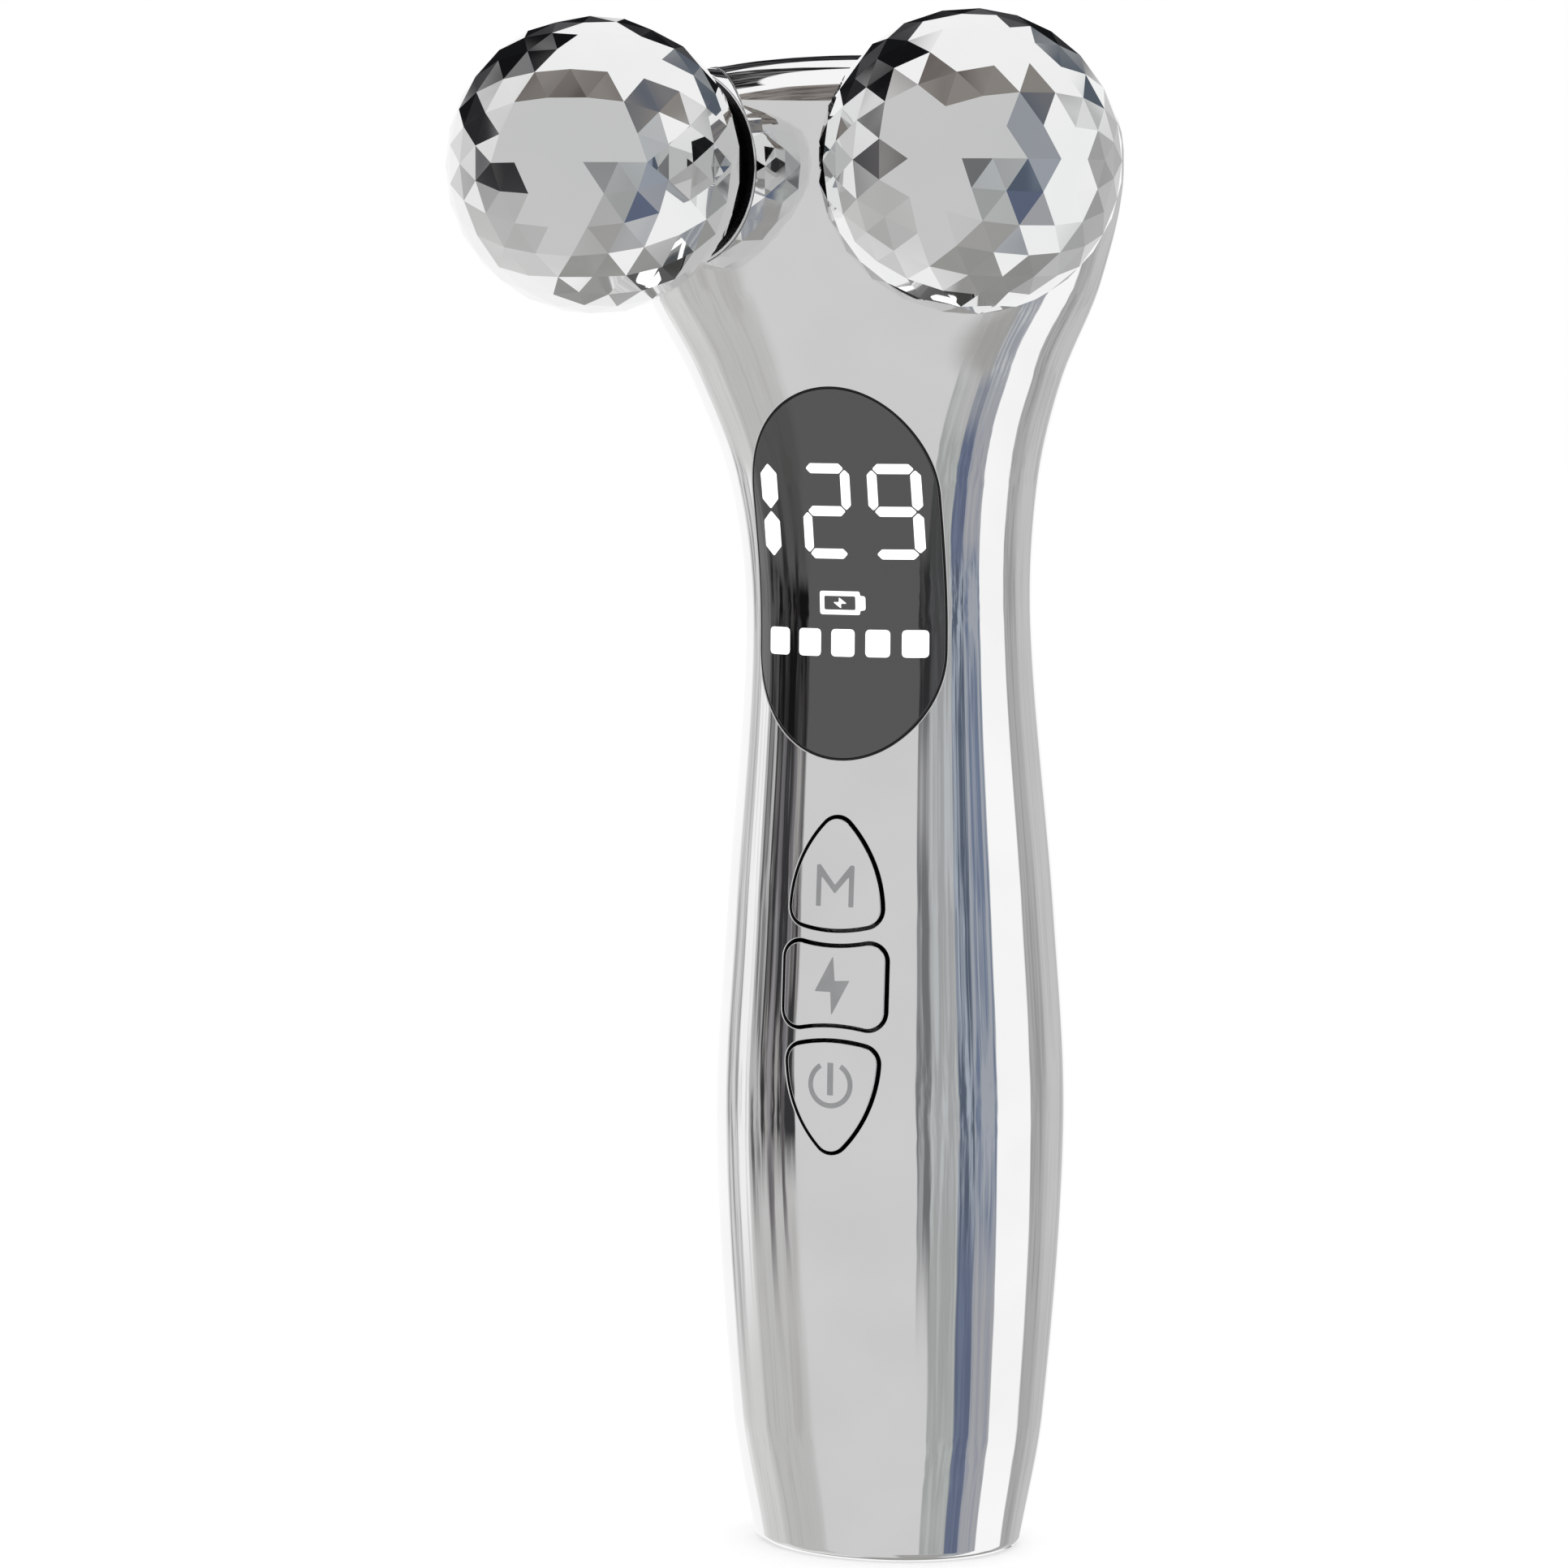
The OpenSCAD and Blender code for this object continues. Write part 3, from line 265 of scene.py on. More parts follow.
# The form's own outward direction, so that reflections run smoothly over the mesh.
def outward(points, side):
    x, y, z = points.T

    def field(level):
        width, depth, leanBy, n = ringAt(level, side)
        across, deep = np.abs(x) / np.maximum(width, 1e-6), np.abs(y + leanBy) / np.maximum(depth, 1e-6)
        return across ** n + deep ** n

    step = np.clip((topZ - z) * 0.2, 1e-7, 0.02)
    width, depth, leanBy, n = ringAt(z, side)
    width, depth = np.maximum(width, 1e-6), np.maximum(depth, 1e-6)
    fx = n * (np.abs(x) / width) ** (n - 1) / width * np.sign(x)
    fy = n * (np.abs(y + leanBy) / depth) ** (n - 1) / depth * side
    fz = (field(z + step) - field(z - step)) / (2 * step)
    normal = np.stack([fx, fy, fz], -1)
    normal[topZ - z < 1e-5] = (0, 0, 1)
    return normal / np.maximum(np.linalg.norm(normal, axis=1), 1e-12)[:, None]


# A shape under construction: points in millimetres, faces, and a direction for each corner or None.
def newShape():
    return {"points": [], "faces": [], "normals": [], "finish": []}


def addPoints(shape, points):
    start = len(shape["points"])
    shape["points"].extend(map(tuple, np.asarray(points, float)))
    return start


def addFaces(shape, faces, directions=None, finish=0, flip=False):
    for face in faces:
        face = list(face)[::-1] if flip else list(face)
        shape["faces"].append(face)
        shape["normals"].append(None if directions is None else [directions[i] for i in face])
        shape["finish"].append(finish)


def ringStrip(a, b, count):
    return [(a + k, a + (k + 1) % count, b + (k + 1) % count, b + k) for k in range(count)]


def buildObject(shape, name, materials, body, replaces=()):
    points = np.array(shape["points"])
    _, first, same = np.unique(np.round(points, 5), axis=0, return_index=True, return_inverse=True)
    same = same.reshape(-1)
    faces, normals, finish = [], [], []
    for face, direction, tone in zip(shape["faces"], shape["normals"], shape["finish"]):
        merged = [int(same[i]) for i in face]
        keep = [k for k in range(len(merged)) if merged[k] != merged[k - 1]]
        if len(keep) < 3 or len({merged[k] for k in keep}) < len(keep):
            continue
        faces.append([merged[k] for k in keep])
        normals.append(None if direction is None else [direction[k] for k in keep])
        finish.append(tone)
    mesh = bpy.data.meshes.new(name)
    mesh.from_pydata((points[first] * mm).tolist(), [], faces)
    mesh.update()
    corners = []
    for polygon, direction in zip(mesh.polygons, normals):
        flat = tuple(polygon.normal)
        corners.extend([flat] * len(polygon.vertices) if direction is None else [tuple(d) for d in direction])
    mesh.shade_smooth()
    mesh.normals_split_custom_set(corners)
    for material in materials:
        mesh.materials.append(material)
    mesh.polygons.foreach_set("material_index", finish)
    piece = newObject(name, mesh)
    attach(piece, body)
    if replaces:
        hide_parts(*replaces)
    print(f"{name}: {len(faces)} faces")


def signedArea(loop):
    ahead = np.roll(loop, -1, 0)
    return np.sum(loop[:, 0] * ahead[:, 1] - loop[:, 1] * ahead[:, 0])


def insideLoop(points, loop):
    x, y = points.T
    inside = np.zeros(len(points), bool)
    for (x0, y0), (x1, y1) in zip(loop, np.roll(loop, -1, 0)):
        if y0 == y1:
            continue
        crosses = (y0 > y) != (y1 > y)
        inside ^= crosses & (x < x0 + (y - y0) / (y1 - y0) * (x1 - x0))
    return inside


# Triangles that fill an outer loop, leave out the holes, and use the given inner points.
def fillLoops(outer, holes, inner, room):
    loops = [outer] + list(holes)
    border = np.concatenate(loops)
    keep = insideLoop(inner, outer)
    for hole in holes:
        keep &= ~insideLoop(inner, hole)
    inner = inner[keep]
    clear = np.ones(len(inner), bool)
    for chunk in np.array_split(border, max(1, len(border) // 400)):
        gap = np.hypot(inner[:, None, 0] - chunk[None, :, 0], inner[:, None, 1] - chunk[None, :, 1])
        clear &= gap.min(1) > room
    flat = np.concatenate([border, inner[clear]])
    edges, start = [], 0
    for loop in loops:
        edges += [(start + k, start + (k + 1) % len(loop)) for k in range(len(loop))]
        start += len(loop)
    made = delaunay_2d_cdt([Vector(p) for p in flat], edges, [], 1, 1e-7)
    faces = np.array([list(face) for face in made[2]])
    middle = flat[faces].mean(1)
    for hole in holes:
        outside = ~insideLoop(middle, hole)
        faces, middle = faces[outside], middle[outside]
    a, b, c = flat[faces[:, 0]], flat[faces[:, 1]], flat[faces[:, 2]]
    turn = (b[:, 0] - a[:, 0]) * (c[:, 1] - a[:, 1]) - (b[:, 1] - a[:, 1]) * (c[:, 0] - a[:, 0])
    faces[turn < 0] = faces[turn < 0][:, ::-1]
    return flat, faces


def resample(loop, spacing):
    loop = np.asarray(loop, float)
    closed = np.vstack([loop, loop[:1]])
    steps = np.hypot(*np.diff(closed, axis=0).T)
    run = np.concatenate([[0], np.cumsum(steps)])
    count = max(8, int(round(run[-1] / spacing)))
    at = np.linspace(0, run[-1], count, endpoint=False)
    return np.stack([np.interp(at, run, closed[:, k]) for k in (0, 1)], -1)


def offsetLoop(loop, distance):
    along = np.roll(loop, -1, 0) - np.roll(loop, 1, 0)
    along /= np.hypot(*along.T)[:, None]
    out = np.stack([along[:, 1], -along[:, 0]], -1) * np.sign(signedArea(loop))
    return loop + out * distance


def gridPoints(low, high, step):
    xs = np.arange(low[0] + step / 2, high[0], step)
    ys = np.arange(low[1] + step / 2, high[1], step * 0.87)  # rows of near equilateral triangles
    return np.concatenate([
        np.stack([xs + (step / 2 if k % 2 else 0), np.full(len(xs), y)], -1) for k, y in enumerate(ys)
    ])


# A piece whose face follows the handle's front inside an outline seen from the front.
# Its edge is rolled by a small radius, and its back lies a thickness below.
def addInlay(shape, outline, thickness, roll, step, proud=0.0, holes=(), wall=0):
    faceLoop = offsetLoop(outline, -roll)
    inner = gridPoints(faceLoop.min(0), faceLoop.max(0), step)
    holeLoops = [offsetLoop(hole, roll) for hole in holes]
    flat, faces = fillLoops(faceLoop, holeLoops, inner, step * 0.5)

    def lift(plan, inset):
        x, z = plan.T
        return np.stack([x, frontY(x, z, inset), z], -1)

    top = lift(flat, -proud)
    normals = outward(lift(flat, 0), -1)
    start = addPoints(shape, top)
    known = dict(enumerate(normals, start))
    addFaces(shape, faces + start, known)
    back = addPoints(shape, lift(flat, thickness))
    addFaces(shape, faces + back, flip=True)
    begin = 0
    for loop, sign in [(outline, 1)] + [(hole, -1) for hole in holes]:
        count = len(loop)
        previous = start + begin
        base = normals[begin:begin + count]
        out = (offsetLoop(loop, 1.0) - loop) * sign
        out = np.stack([out[:, 0], np.zeros(count), out[:, 1]], -1)
        for a in edgeBends[1:]:
            plan = offsetLoop(loop, (roll * math.sin(a) - roll) * sign)
            ring = addPoints(shape, lift(plan, -proud + roll * (1 - math.cos(a))))
            known.update(enumerate(base * math.cos(a) + out * math.sin(a), ring))
            addFaces(shape, ringStrip(previous, ring, count), known, flip=sign > 0)
            previous = ring
        low = addPoints(shape, lift(loop, thickness))
        addFaces(shape, ringStrip(previous, low, count), None, wall, flip=sign > 0)
        addFaces(shape, ringStrip(low, back + begin, count), None, wall, flip=sign > 0)
        begin += count
    return shape


print("helpers ready")


# Outlines of the openings, seen from the front.
window = {
    "width": 20.7, "height": 38.4, "z": 104.1, "end": 11.1, "slip": 0.02, "thickness": 0.7, "roll": 0.12,
    "seal": 0.15, "sealWidth": 0.13, "sealSunk": 0.04, "sealThickness": 0.75, "sealRoll": 0.03,
    "spacing": 0.4, "step": 0.6, "sealStep": 5,
}
keys = {
    "z": 61.4, "pointWidth": 10.0, "pointHeight": 11.4, "middleWidth": 11.2, "middleHeight": 7.9,
    "bridge": 1.95, "edgeRadius": 16.0, "corner": 1.7, "gap": 0.36, "thickness": 2.0, "shoulder": 1.6,
    "roll": 0.1, "proud": 0.16, "spacing": 0.3, "step": 0.55,
}


def windowOutline(grow=0.0):
    a = np.linspace(0, math.pi, 720)
    straight = window["height"] / 2 - window["end"]
    half, end = window["width"] / 2 + grow, window["end"] + grow
    top = np.stack([half * np.cos(a), straight + end * np.sin(a)], -1)
    return resample(np.concatenate([top, -top]) + (0, window["z"]), window["spacing"])


def arcPoints(centre, radius, start, end, count=60):
    a = np.radians(np.linspace(start, end, count))
    return np.stack([centre[0] + radius * np.cos(a), centre[1] + radius * np.sin(a)], -1)


def angleOf(x, y):
    return math.degrees(math.atan2(y, x))


def pointedOutline():
    half, r, edge, level = keys["pointWidth"] / 2, keys["corner"], keys["edgeRadius"], keys["shoulder"]
    a = half - r
    c = ((keys["pointHeight"] - level - r) ** 2 - a * a) / (2 * a)
    big = half + c
    tip = keys["pointHeight"] - r
    low, high = 0.0, math.pi / 2  # finds the corner circle that touches both the side and the base
    for _ in range(60):
        turn = (low + high) / 2
        x, z = (edge - r) * math.sin(turn), edge - (edge - r) * math.cos(turn)
        low, high = (turn, high) if math.hypot(x + c, z - level) < big - r else (low, turn)
    reach = angleOf(c, tip - level)
    start = angleOf(x + c, z - level)
    right = np.concatenate([
        arcPoints((0, edge), edge, -90, math.degrees(turn) - 90),
        arcPoints((x, z), r, math.degrees(turn) - 90, start),
        arcPoints((-c, level), big, start, reach),
        arcPoints((0, tip), r, reach, 90),
    ])
    left = right[::-1] * (-1, 1)
    return np.concatenate([right, left[1:-1]])


def middleOutline():
    half, r = keys["middleWidth"] / 2, keys["corner"]
    big = keys["edgeRadius"] + keys["bridge"]
    sink = keys["middleHeight"] / 2 + keys["bridge"] + keys["edgeRadius"]
    x = half - r
    z = sink - math.sqrt((big + r) ** 2 - x * x)
    turn = angleOf(-x, sink - z)
    quarter = np.concatenate([arcPoints((x, z), r, 0, turn), arcPoints((0, sink), big, turn - 180, -90)])
    upper = np.concatenate([quarter, (quarter[::-1] * (-1, 1))[1:]])
    return np.concatenate([upper, upper[::-1] * (1, -1)])


def keyOutline(place):
    if place == 0:
        loop = middleOutline()
    else:
        loop = (pointedOutline() + (0, keys["middleHeight"] / 2 + keys["bridge"])) * (1, place)
    if signedArea(loop) < 0:
        loop = loop[::-1]
    return resample(loop + (0, keys["z"]), keys["spacing"])


# The rollers' axles and the seats where they enter the head.
roller = {
    "ballRadius": 15.1, "spacing": 41.0, "forward": 30.5, "splay": 18.0, "rimRadius": 10.3, "rimWall": 0.4,
    "rimFront": -13.196, "seatBack": -20.5, "slip": 0.05, "reach": (-6.0, -26.0),
    "bushRadius": 5.0, "bushFront": 7.55, "boreLength": 24.0, "facetRows": 5,
}


def axleFrame(side):
    a = math.radians(roller["splay"])
    along = np.array([side * math.sin(a), -math.cos(a), 0.0])
    across = np.array([math.cos(a), side * math.sin(a), 0.0])
    centre = np.array([side * roller["spacing"] / 2, -roller["forward"], headZ])
    return centre, along, across


# The line where a barrel round the axle meets the front of the head.
def seatLoop(side, radius, count=150):
    centre, along, across = axleFrame(side)
    a = np.linspace(0, 2 * math.pi, count, endpoint=False)
    rim = centre + radius * (np.cos(a)[:, None] * across + np.sin(a)[:, None] * np.array([0, 0, 1.0]))
    near, far = (np.full(count, place) for place in roller["reach"])
    for _ in range(50):
        t = (near + far) / 2
        p = rim + t[:, None] * along
        width = ringAt(p[:, 2], -1)[0]
        outside = (p[:, 1] < frontY(p[:, 0], p[:, 2])) | (np.abs(p[:, 0]) >= width)
        near, far = np.where(outside, t, near), np.where(outside, far, t)
    return rim + ((near + far) / 2)[:, None] * along


# The two halves of the housing. u is stretched so that both directions count alike.
skin = {
    "stretch": 52.0, "step": 1.3, "roll": 0.14, "room": 0.62, "columns": 45, "stagger": 0.003,
    "footColumns": 161, "footHeight": 1.5, "footRows": [0, 0.12, 0.34, 0.64, 1.0, 1.6, 2.5],
    "evenFrom": 3.6,
}


def halfShell(side, holes, name, node):
    even = np.arange(skin["evenFrom"], headZ + crownSpan, skin["step"])
    rows = np.concatenate([skin["footRows"], even, [headZ + crownSpan]])
    across, dense = np.linspace(0, 1, skin["columns"]), np.linspace(0, 1, skin["footColumns"])
    crestCount = len(across) - 1
    outer = np.concatenate([
        np.stack([dense, np.zeros(len(dense))], -1),
        np.stack([np.ones(len(rows) - 1), rows[1:]], -1),
        np.stack([across[::-1][1:], np.full(crestCount, rows[-1])], -1),
        np.stack([np.zeros(len(rows) - 2), rows[::-1][1:-1]], -1),
    ])
    inner = []
    for k, v in enumerate(rows[1:-1]):
        columns = (dense if v < skin["footHeight"] else across)[1:-1]
        inner.append(np.stack([columns + (skin["stagger"] if k % 2 else 0), np.full(len(columns), v)], -1))
    inner = np.concatenate(inner)
    scale = np.array([skin["stretch"], 1.0])
    flatHoles = [placeOnSkin(rings[0]) * scale for rings in holes]
    flat, faces = fillLoops(outer * scale, flatHoles, inner * scale, skin["room"])
    u, v = (flat / scale).T
    shape = newShape()
    top = skinPoint(u, v, side)
    normals = outward(top, side)
    start = addPoints(shape, top)
    known = dict(enumerate(normals, start))
    flip = side < 0
    addFaces(shape, faces + start, known, 0, flip)
    # The inside, the rims and the openings' walls take finish 1, the dark grey: painted shade that darkens
    # the parting line and the gaps round the window, the keys and the seats.
    back = addPoints(shape, skinPoint(u, v, side, handle["wall"]))
    addFaces(shape, faces + back, None, 1, not flip)
    # The crown's line closes to one point in each skin, so it has no rim.
    crest = len(dense) + len(rows) - 2
    rim = ringStrip(start, back, len(outer))
    addFaces(shape, rim[:crest] + rim[crest + crestCount:], None, 1, not flip)
    offset = len(outer)
    for rings, loop in zip(holes, flatHoles):
        count = len(loop)
        face = normals[offset:offset + count]
        previous = start + offset
        turnBack = (signedArea(loop) > 0) == flip
        wallOut = rings[-1] - rings[0]
        wallOut -= (wallOut * face).sum(1)[:, None] * face
        wallOut /= np.maximum(np.linalg.norm(wallOut, axis=1), 1e-9)[:, None]
        for a, ring in zip(edgeBends[1:], rings[1:]):
            here = addPoints(shape, ring)
            known.update(enumerate(face * math.cos(a) + wallOut * math.sin(a), here))
            addFaces(shape, ringStrip(previous, here, count), known, 0, turnBack)
            previous = here
        addFaces(shape, ringStrip(previous, back + offset, count), None, 1, turnBack)
        offset += count
    buildObject(shape, name, [shellChrome, innerPlasticAndGapShade], "handle", [node])


# An opening's edge as rings that roll in from the skin to the opening's wall.
def rolledOpening(outline):
    rings = []
    for a in edgeBends:
        x, z = offsetLoop(outline, skin["roll"] * (1 - math.sin(a))).T
        rings.append(np.stack([x, frontY(x, z, skin["roll"] * (1 - math.cos(a))), z], -1))
    return rings


def rolledSeat(side):
    rings = []
    centre, along, _ = axleFrame(side)
    for a in edgeBends:
        ring = seatLoop(side, roller["rimRadius"] + roller["slip"] + skin["roll"] * (1 - math.sin(a)))
        rings.append(ring - along * skin["roll"] * (1 - math.cos(a)))
    return rings


openings = [rolledOpening(windowOutline(window["seal"]))]
openings += [rolledOpening(offsetLoop(keyOutline(place), keys["gap"])) for place in (1, 0, -1)]
openings += [rolledSeat(side) for side in (-1, 1)]
halfShell(-1, openings, "front_housing", "front_shell")
halfShell(1, [], "rear_housing", "rear_shell")

# The window, its seal and the three keys.
pane = addInlay(
    newShape(), windowOutline(-window["slip"]), window["thickness"], window["roll"], window["step"]
)
buildObject(pane, "window_pane", [smokedWindow], "handle", ["display_window"])
seal = addInlay(
    newShape(), windowOutline(window["sealWidth"]), window["sealThickness"], window["sealRoll"],
    window["sealStep"], -window["sealSunk"], holes=[windowOutline()],
)
buildObject(seal, "window_seal", [blackSeal], "handle", ["window_gasket"])
for place, word in ((1, "mode"), (0, "pulse"), (-1, "power")):
    cap = addInlay(
        newShape(), keyOutline(place), keys["thickness"], keys["roll"], keys["step"], keys["proud"], wall=1
    )
    # The keys' side walls take the second finish, the black: painted shade for the dark gap round each key.
    finishes = [shellChrome, blackAcetalAndGapShade]
    buildObject(cap, word + "_key_cap", finishes, word + "_key", [word + "_button"])

# The lit figures stand in the window's face; the box behind them stays dark.
figures = {
    "height": 9.9, "width": 5.5, "z": 110.6, "bar": 1.04, "places": (-1.3, 6.1), "nick": 0.1,
    "leadX": -8.08, "leadBar": 2.1, "proud": 0.015, "depth": 0.03, "roll": 0.01, "spacing": 0.14,
    "step": 0.55,
    "squares": 5, "squareSize": 2.62, "squareTall": 0.24, "squarePitch": 3.8, "squareZ": 96.9,
    "squareCorner": 0.5,
    "battery": [
        [1.92, 99.83], [1.92, 100.3], [2.52, 100.3], [2.52, 101.8], [1.92, 101.8], [1.92, 102.27],
        [-2.58, 102.27], [-2.58, 99.83],
    ],
    "hollow": [[1.42, 100.33], [1.42, 101.77], [-2.08, 101.77], [-2.08, 100.33]],
    "bolt": [[0.1, 1], [-0.75, -0.15], [-0.1, -0.15], [-0.1, -1], [0.75, 0.15], [0.1, 0.15]],
    "boltSize": 0.78, "boltPlace": (-0.3, 101.05),
    "batteryCorner": 0.28, "hollowCorner": 0.15, "boltCorner": 0.04,
}


def hexagonBar(reach, width, corner=0.16):
    half = width / 2
    flank = reach - half
    loop = [[flank, -half], [reach, 0], [flank, half], [-flank, half], [-reach, 0], [-flank, -half]]
    return roundCorners(loop, corner)


# Rounds each corner of a closed outline, much as an arc of the given radius would.
def roundCorners(loop, radius, steps=5):
    loop = np.asarray(loop, float)
    out, count = [], len(loop)
    for k in range(count):
        p, a, b = loop[k], loop[k - 1], loop[(k + 1) % count]
        reachA, reachB = np.linalg.norm(a - p), np.linalg.norm(b - p)
        toA, toB = (a - p) / reachA, (b - p) / reachB
        half = math.acos(max(-1, min(1, float(toA @ toB)))) / 2
        cut = min(radius / math.tan(half), reachA * 0.45, reachB * 0.45)
        for t in np.linspace(0, 1, steps):
            out.append((1 - t) ** 2 * (p + toA * cut) + 2 * t * (1 - t) * p + t * t * (p + toB * cut))
    return np.array(out)


segmentPlaces = {
    "a": (0, 1, False), "b": (1, 0.5, True), "c": (1, -0.5, True), "d": (0, -1, False),
    "e": (-1, -0.5, True), "f": (-1, 0.5, True), "g": (0, 0, False),
}


def digitLoops():
    loops = []
    halfX = (figures["width"] - figures["bar"]) / 2
    halfZ = (figures["height"] - figures["bar"]) / 2
    for centre, lit in zip(figures["places"], ("abged", "abcdfg")):
        for letter in lit:
            sx, sz, upright = segmentPlaces[letter]
            reach = (halfZ / 2 if upright else halfX) - figures["nick"]
            loop = hexagonBar(reach, figures["bar"])
            if upright:
                loop = loop[:, ::-1] * (-1, 1)
            loops.append(loop + (centre + sx * halfX, figures["z"] + sz * halfZ))
    quarter = figures["height"] / 4
    lead = hexagonBar(quarter - figures["nick"], figures["leadBar"])[:, ::-1] * (-1, 1)
    return loops + [lead + (figures["leadX"], figures["z"] + s * quarter) for s in (-1, 1)]


def addFigures(shape, loops, holes=None, proud=figures["proud"]):
    for k, loop in enumerate(loops):
        outline = resample(loop if signedArea(loop) > 0 else loop[::-1], figures["spacing"])
        inside = (holes or {}).get(k, ())
        addInlay(shape, outline, figures["depth"], figures["roll"], figures["step"], proud, inside)
    return shape


digits = addFigures(newShape(), digitLoops())
buildObject(digits, "lit_digits", [litWhite], "handle", ["display_digits"])


# The level squares, the battery with its hollow, and the bolt in it.
def symbolLoops():
    loops = []
    across = figures["squareSize"] / 2
    tall = across + figures["squareTall"] / 2
    for k in range(figures["squares"]):
        x = (k - figures["squares"] // 2) * figures["squarePitch"]
        square = [[across, -tall], [across, tall], [-across, tall], [-across, -tall]]
        loops.append(roundCorners(square, figures["squareCorner"], 7) + (x, figures["squareZ"]))
    loops.append(roundCorners(figures["battery"], figures["batteryCorner"], 6))
    bolt = np.array(figures["bolt"])[:, ::-1] * (-1, 1) * figures["boltSize"]
    loops.append(roundCorners(bolt + figures["boltPlace"], figures["boltCorner"], 3))
    hollow = roundCorners(figures["hollow"], figures["hollowCorner"], 6)
    return loops, {figures["squares"]: [resample(hollow, figures["spacing"])]}


symbols = addFigures(newShape(), *symbolLoops())
buildObject(symbols, "lit_symbols", [litWhite], "handle", ["display_symbols"])

# Grey signs on the keys.
signs = {
    "line": 0.54, "stem": 0.66, "proud": 0.015, "ring": (0, 51.13), "ringRadius": 2.22, "ringGap": 60,
    "stemHeights": [50.0, 51.0, 52.2, 53.4], "letterCorner": 0.08, "boltCorner": 0.06,
    "letter": [
        [-2.1, 69.6], [-1.55, 69.6], [-1.55, 72.75], [0, 70.95], [1.55, 72.75], [1.55, 69.6], [2.1, 69.6],
        [2.1, 73.9], [1.7, 73.95], [0, 71.85], [-1.7, 73.95], [-2.1, 73.9],
    ],
    "bolt": [[0.0, 64.5], [-2.0, 60.75], [-0.2, 60.75], [-0.05, 58.3], [1.9, 62.0], [0.25, 61.9]],
}


def strokeLoop(path, width):
    path = np.asarray(path, float)
    along = np.gradient(path, axis=0)
    along /= np.hypot(*along.T)[:, None]
    out = np.stack([along[:, 1], -along[:, 0]], -1) * width / 2
    return np.concatenate([path + out, (path - out)[::-1]])


halfGap = signs["ringGap"] / 2
ringPath = arcPoints(signs["ring"], signs["ringRadius"], 90 + halfGap, 450 - halfGap)
stemPath = [[0, z] for z in signs["stemHeights"]]
for word, loops in (
    ("mode", [roundCorners(signs["letter"], signs["letterCorner"])]),
    ("pulse", [roundCorners(signs["bolt"], signs["boltCorner"])]),
    ("power", [strokeLoop(ringPath, signs["line"]), strokeLoop(stemPath, signs["stem"])]),
):
    sign = addFigures(newShape(), loops, proud=keys["proud"] + signs["proud"])
    buildObject(sign, word + "_sign", [iconGrey], word + "_key")
print("front pieces made")


# A revolved piece round one axle from a closed profile of radius and distance along the axle.
def addRevolved(shape, side, profile, count=160, sharp=math.radians(38)):
    centre, along, across = axleFrame(side)
    up = np.array([0, 0, 1.0])
    profile = np.asarray(profile, float)
    turn = np.linspace(0, 2 * math.pi, count, endpoint=False)
    spoke = np.cos(turn)[:, None] * across + np.sin(turn)[:, None] * up
    starts = [addPoints(shape, centre + r * spoke + t * along) for r, t in profile]
    m = len(profile)
    sign = 1 if signedArea(profile) > 0 else -1
    edges = [profile[(k + 1) % m] - profile[k] for k in range(m)]
    sides = [np.array([e[1], -e[0]]) * sign / max(np.hypot(*e), 1e-9) for e in edges]
    flip = (np.dot(np.cross(across, up), along) > 0) != (sign > 0)
    for k in range(m):
        a, b = starts[k], starts[(k + 1) % m]
        known = {}
        for start, other in ((a, sides[k - 1]), (b, sides[(k + 1) % m])):
            mixed = sides[k] + other if np.dot(sides[k], other) > math.cos(sharp) else sides[k]
            mixed = mixed / np.hypot(*mixed)
            known.update(enumerate(mixed[0] * spoke + mixed[1] * along, start))
        addFaces(shape, ringStrip(a, b, count), known, 0, flip)
    return shape


def roundedEnd(r0, r1, t):
    middle, half = (r0 + r1) / 2, (r1 - r0) / 2
    return [(middle + half * math.cos(a), t - half + half * math.sin(a)) for a in np.linspace(0, math.pi, 9)]


outerR, innerR = roller["rimRadius"], roller["rimRadius"] - roller["rimWall"]
rimProfile = [(innerR, roller["seatBack"]), (outerR, roller["seatBack"])]
rimProfile += roundedEnd(innerR, outerR, roller["rimFront"])
for side, word in ((-1, "left"), (1, "right")):
    rim = addRevolved(newShape(), side, rimProfile)
    buildObject(rim, word + "_rim", [trimChrome], "handle", [word + "_collar"])


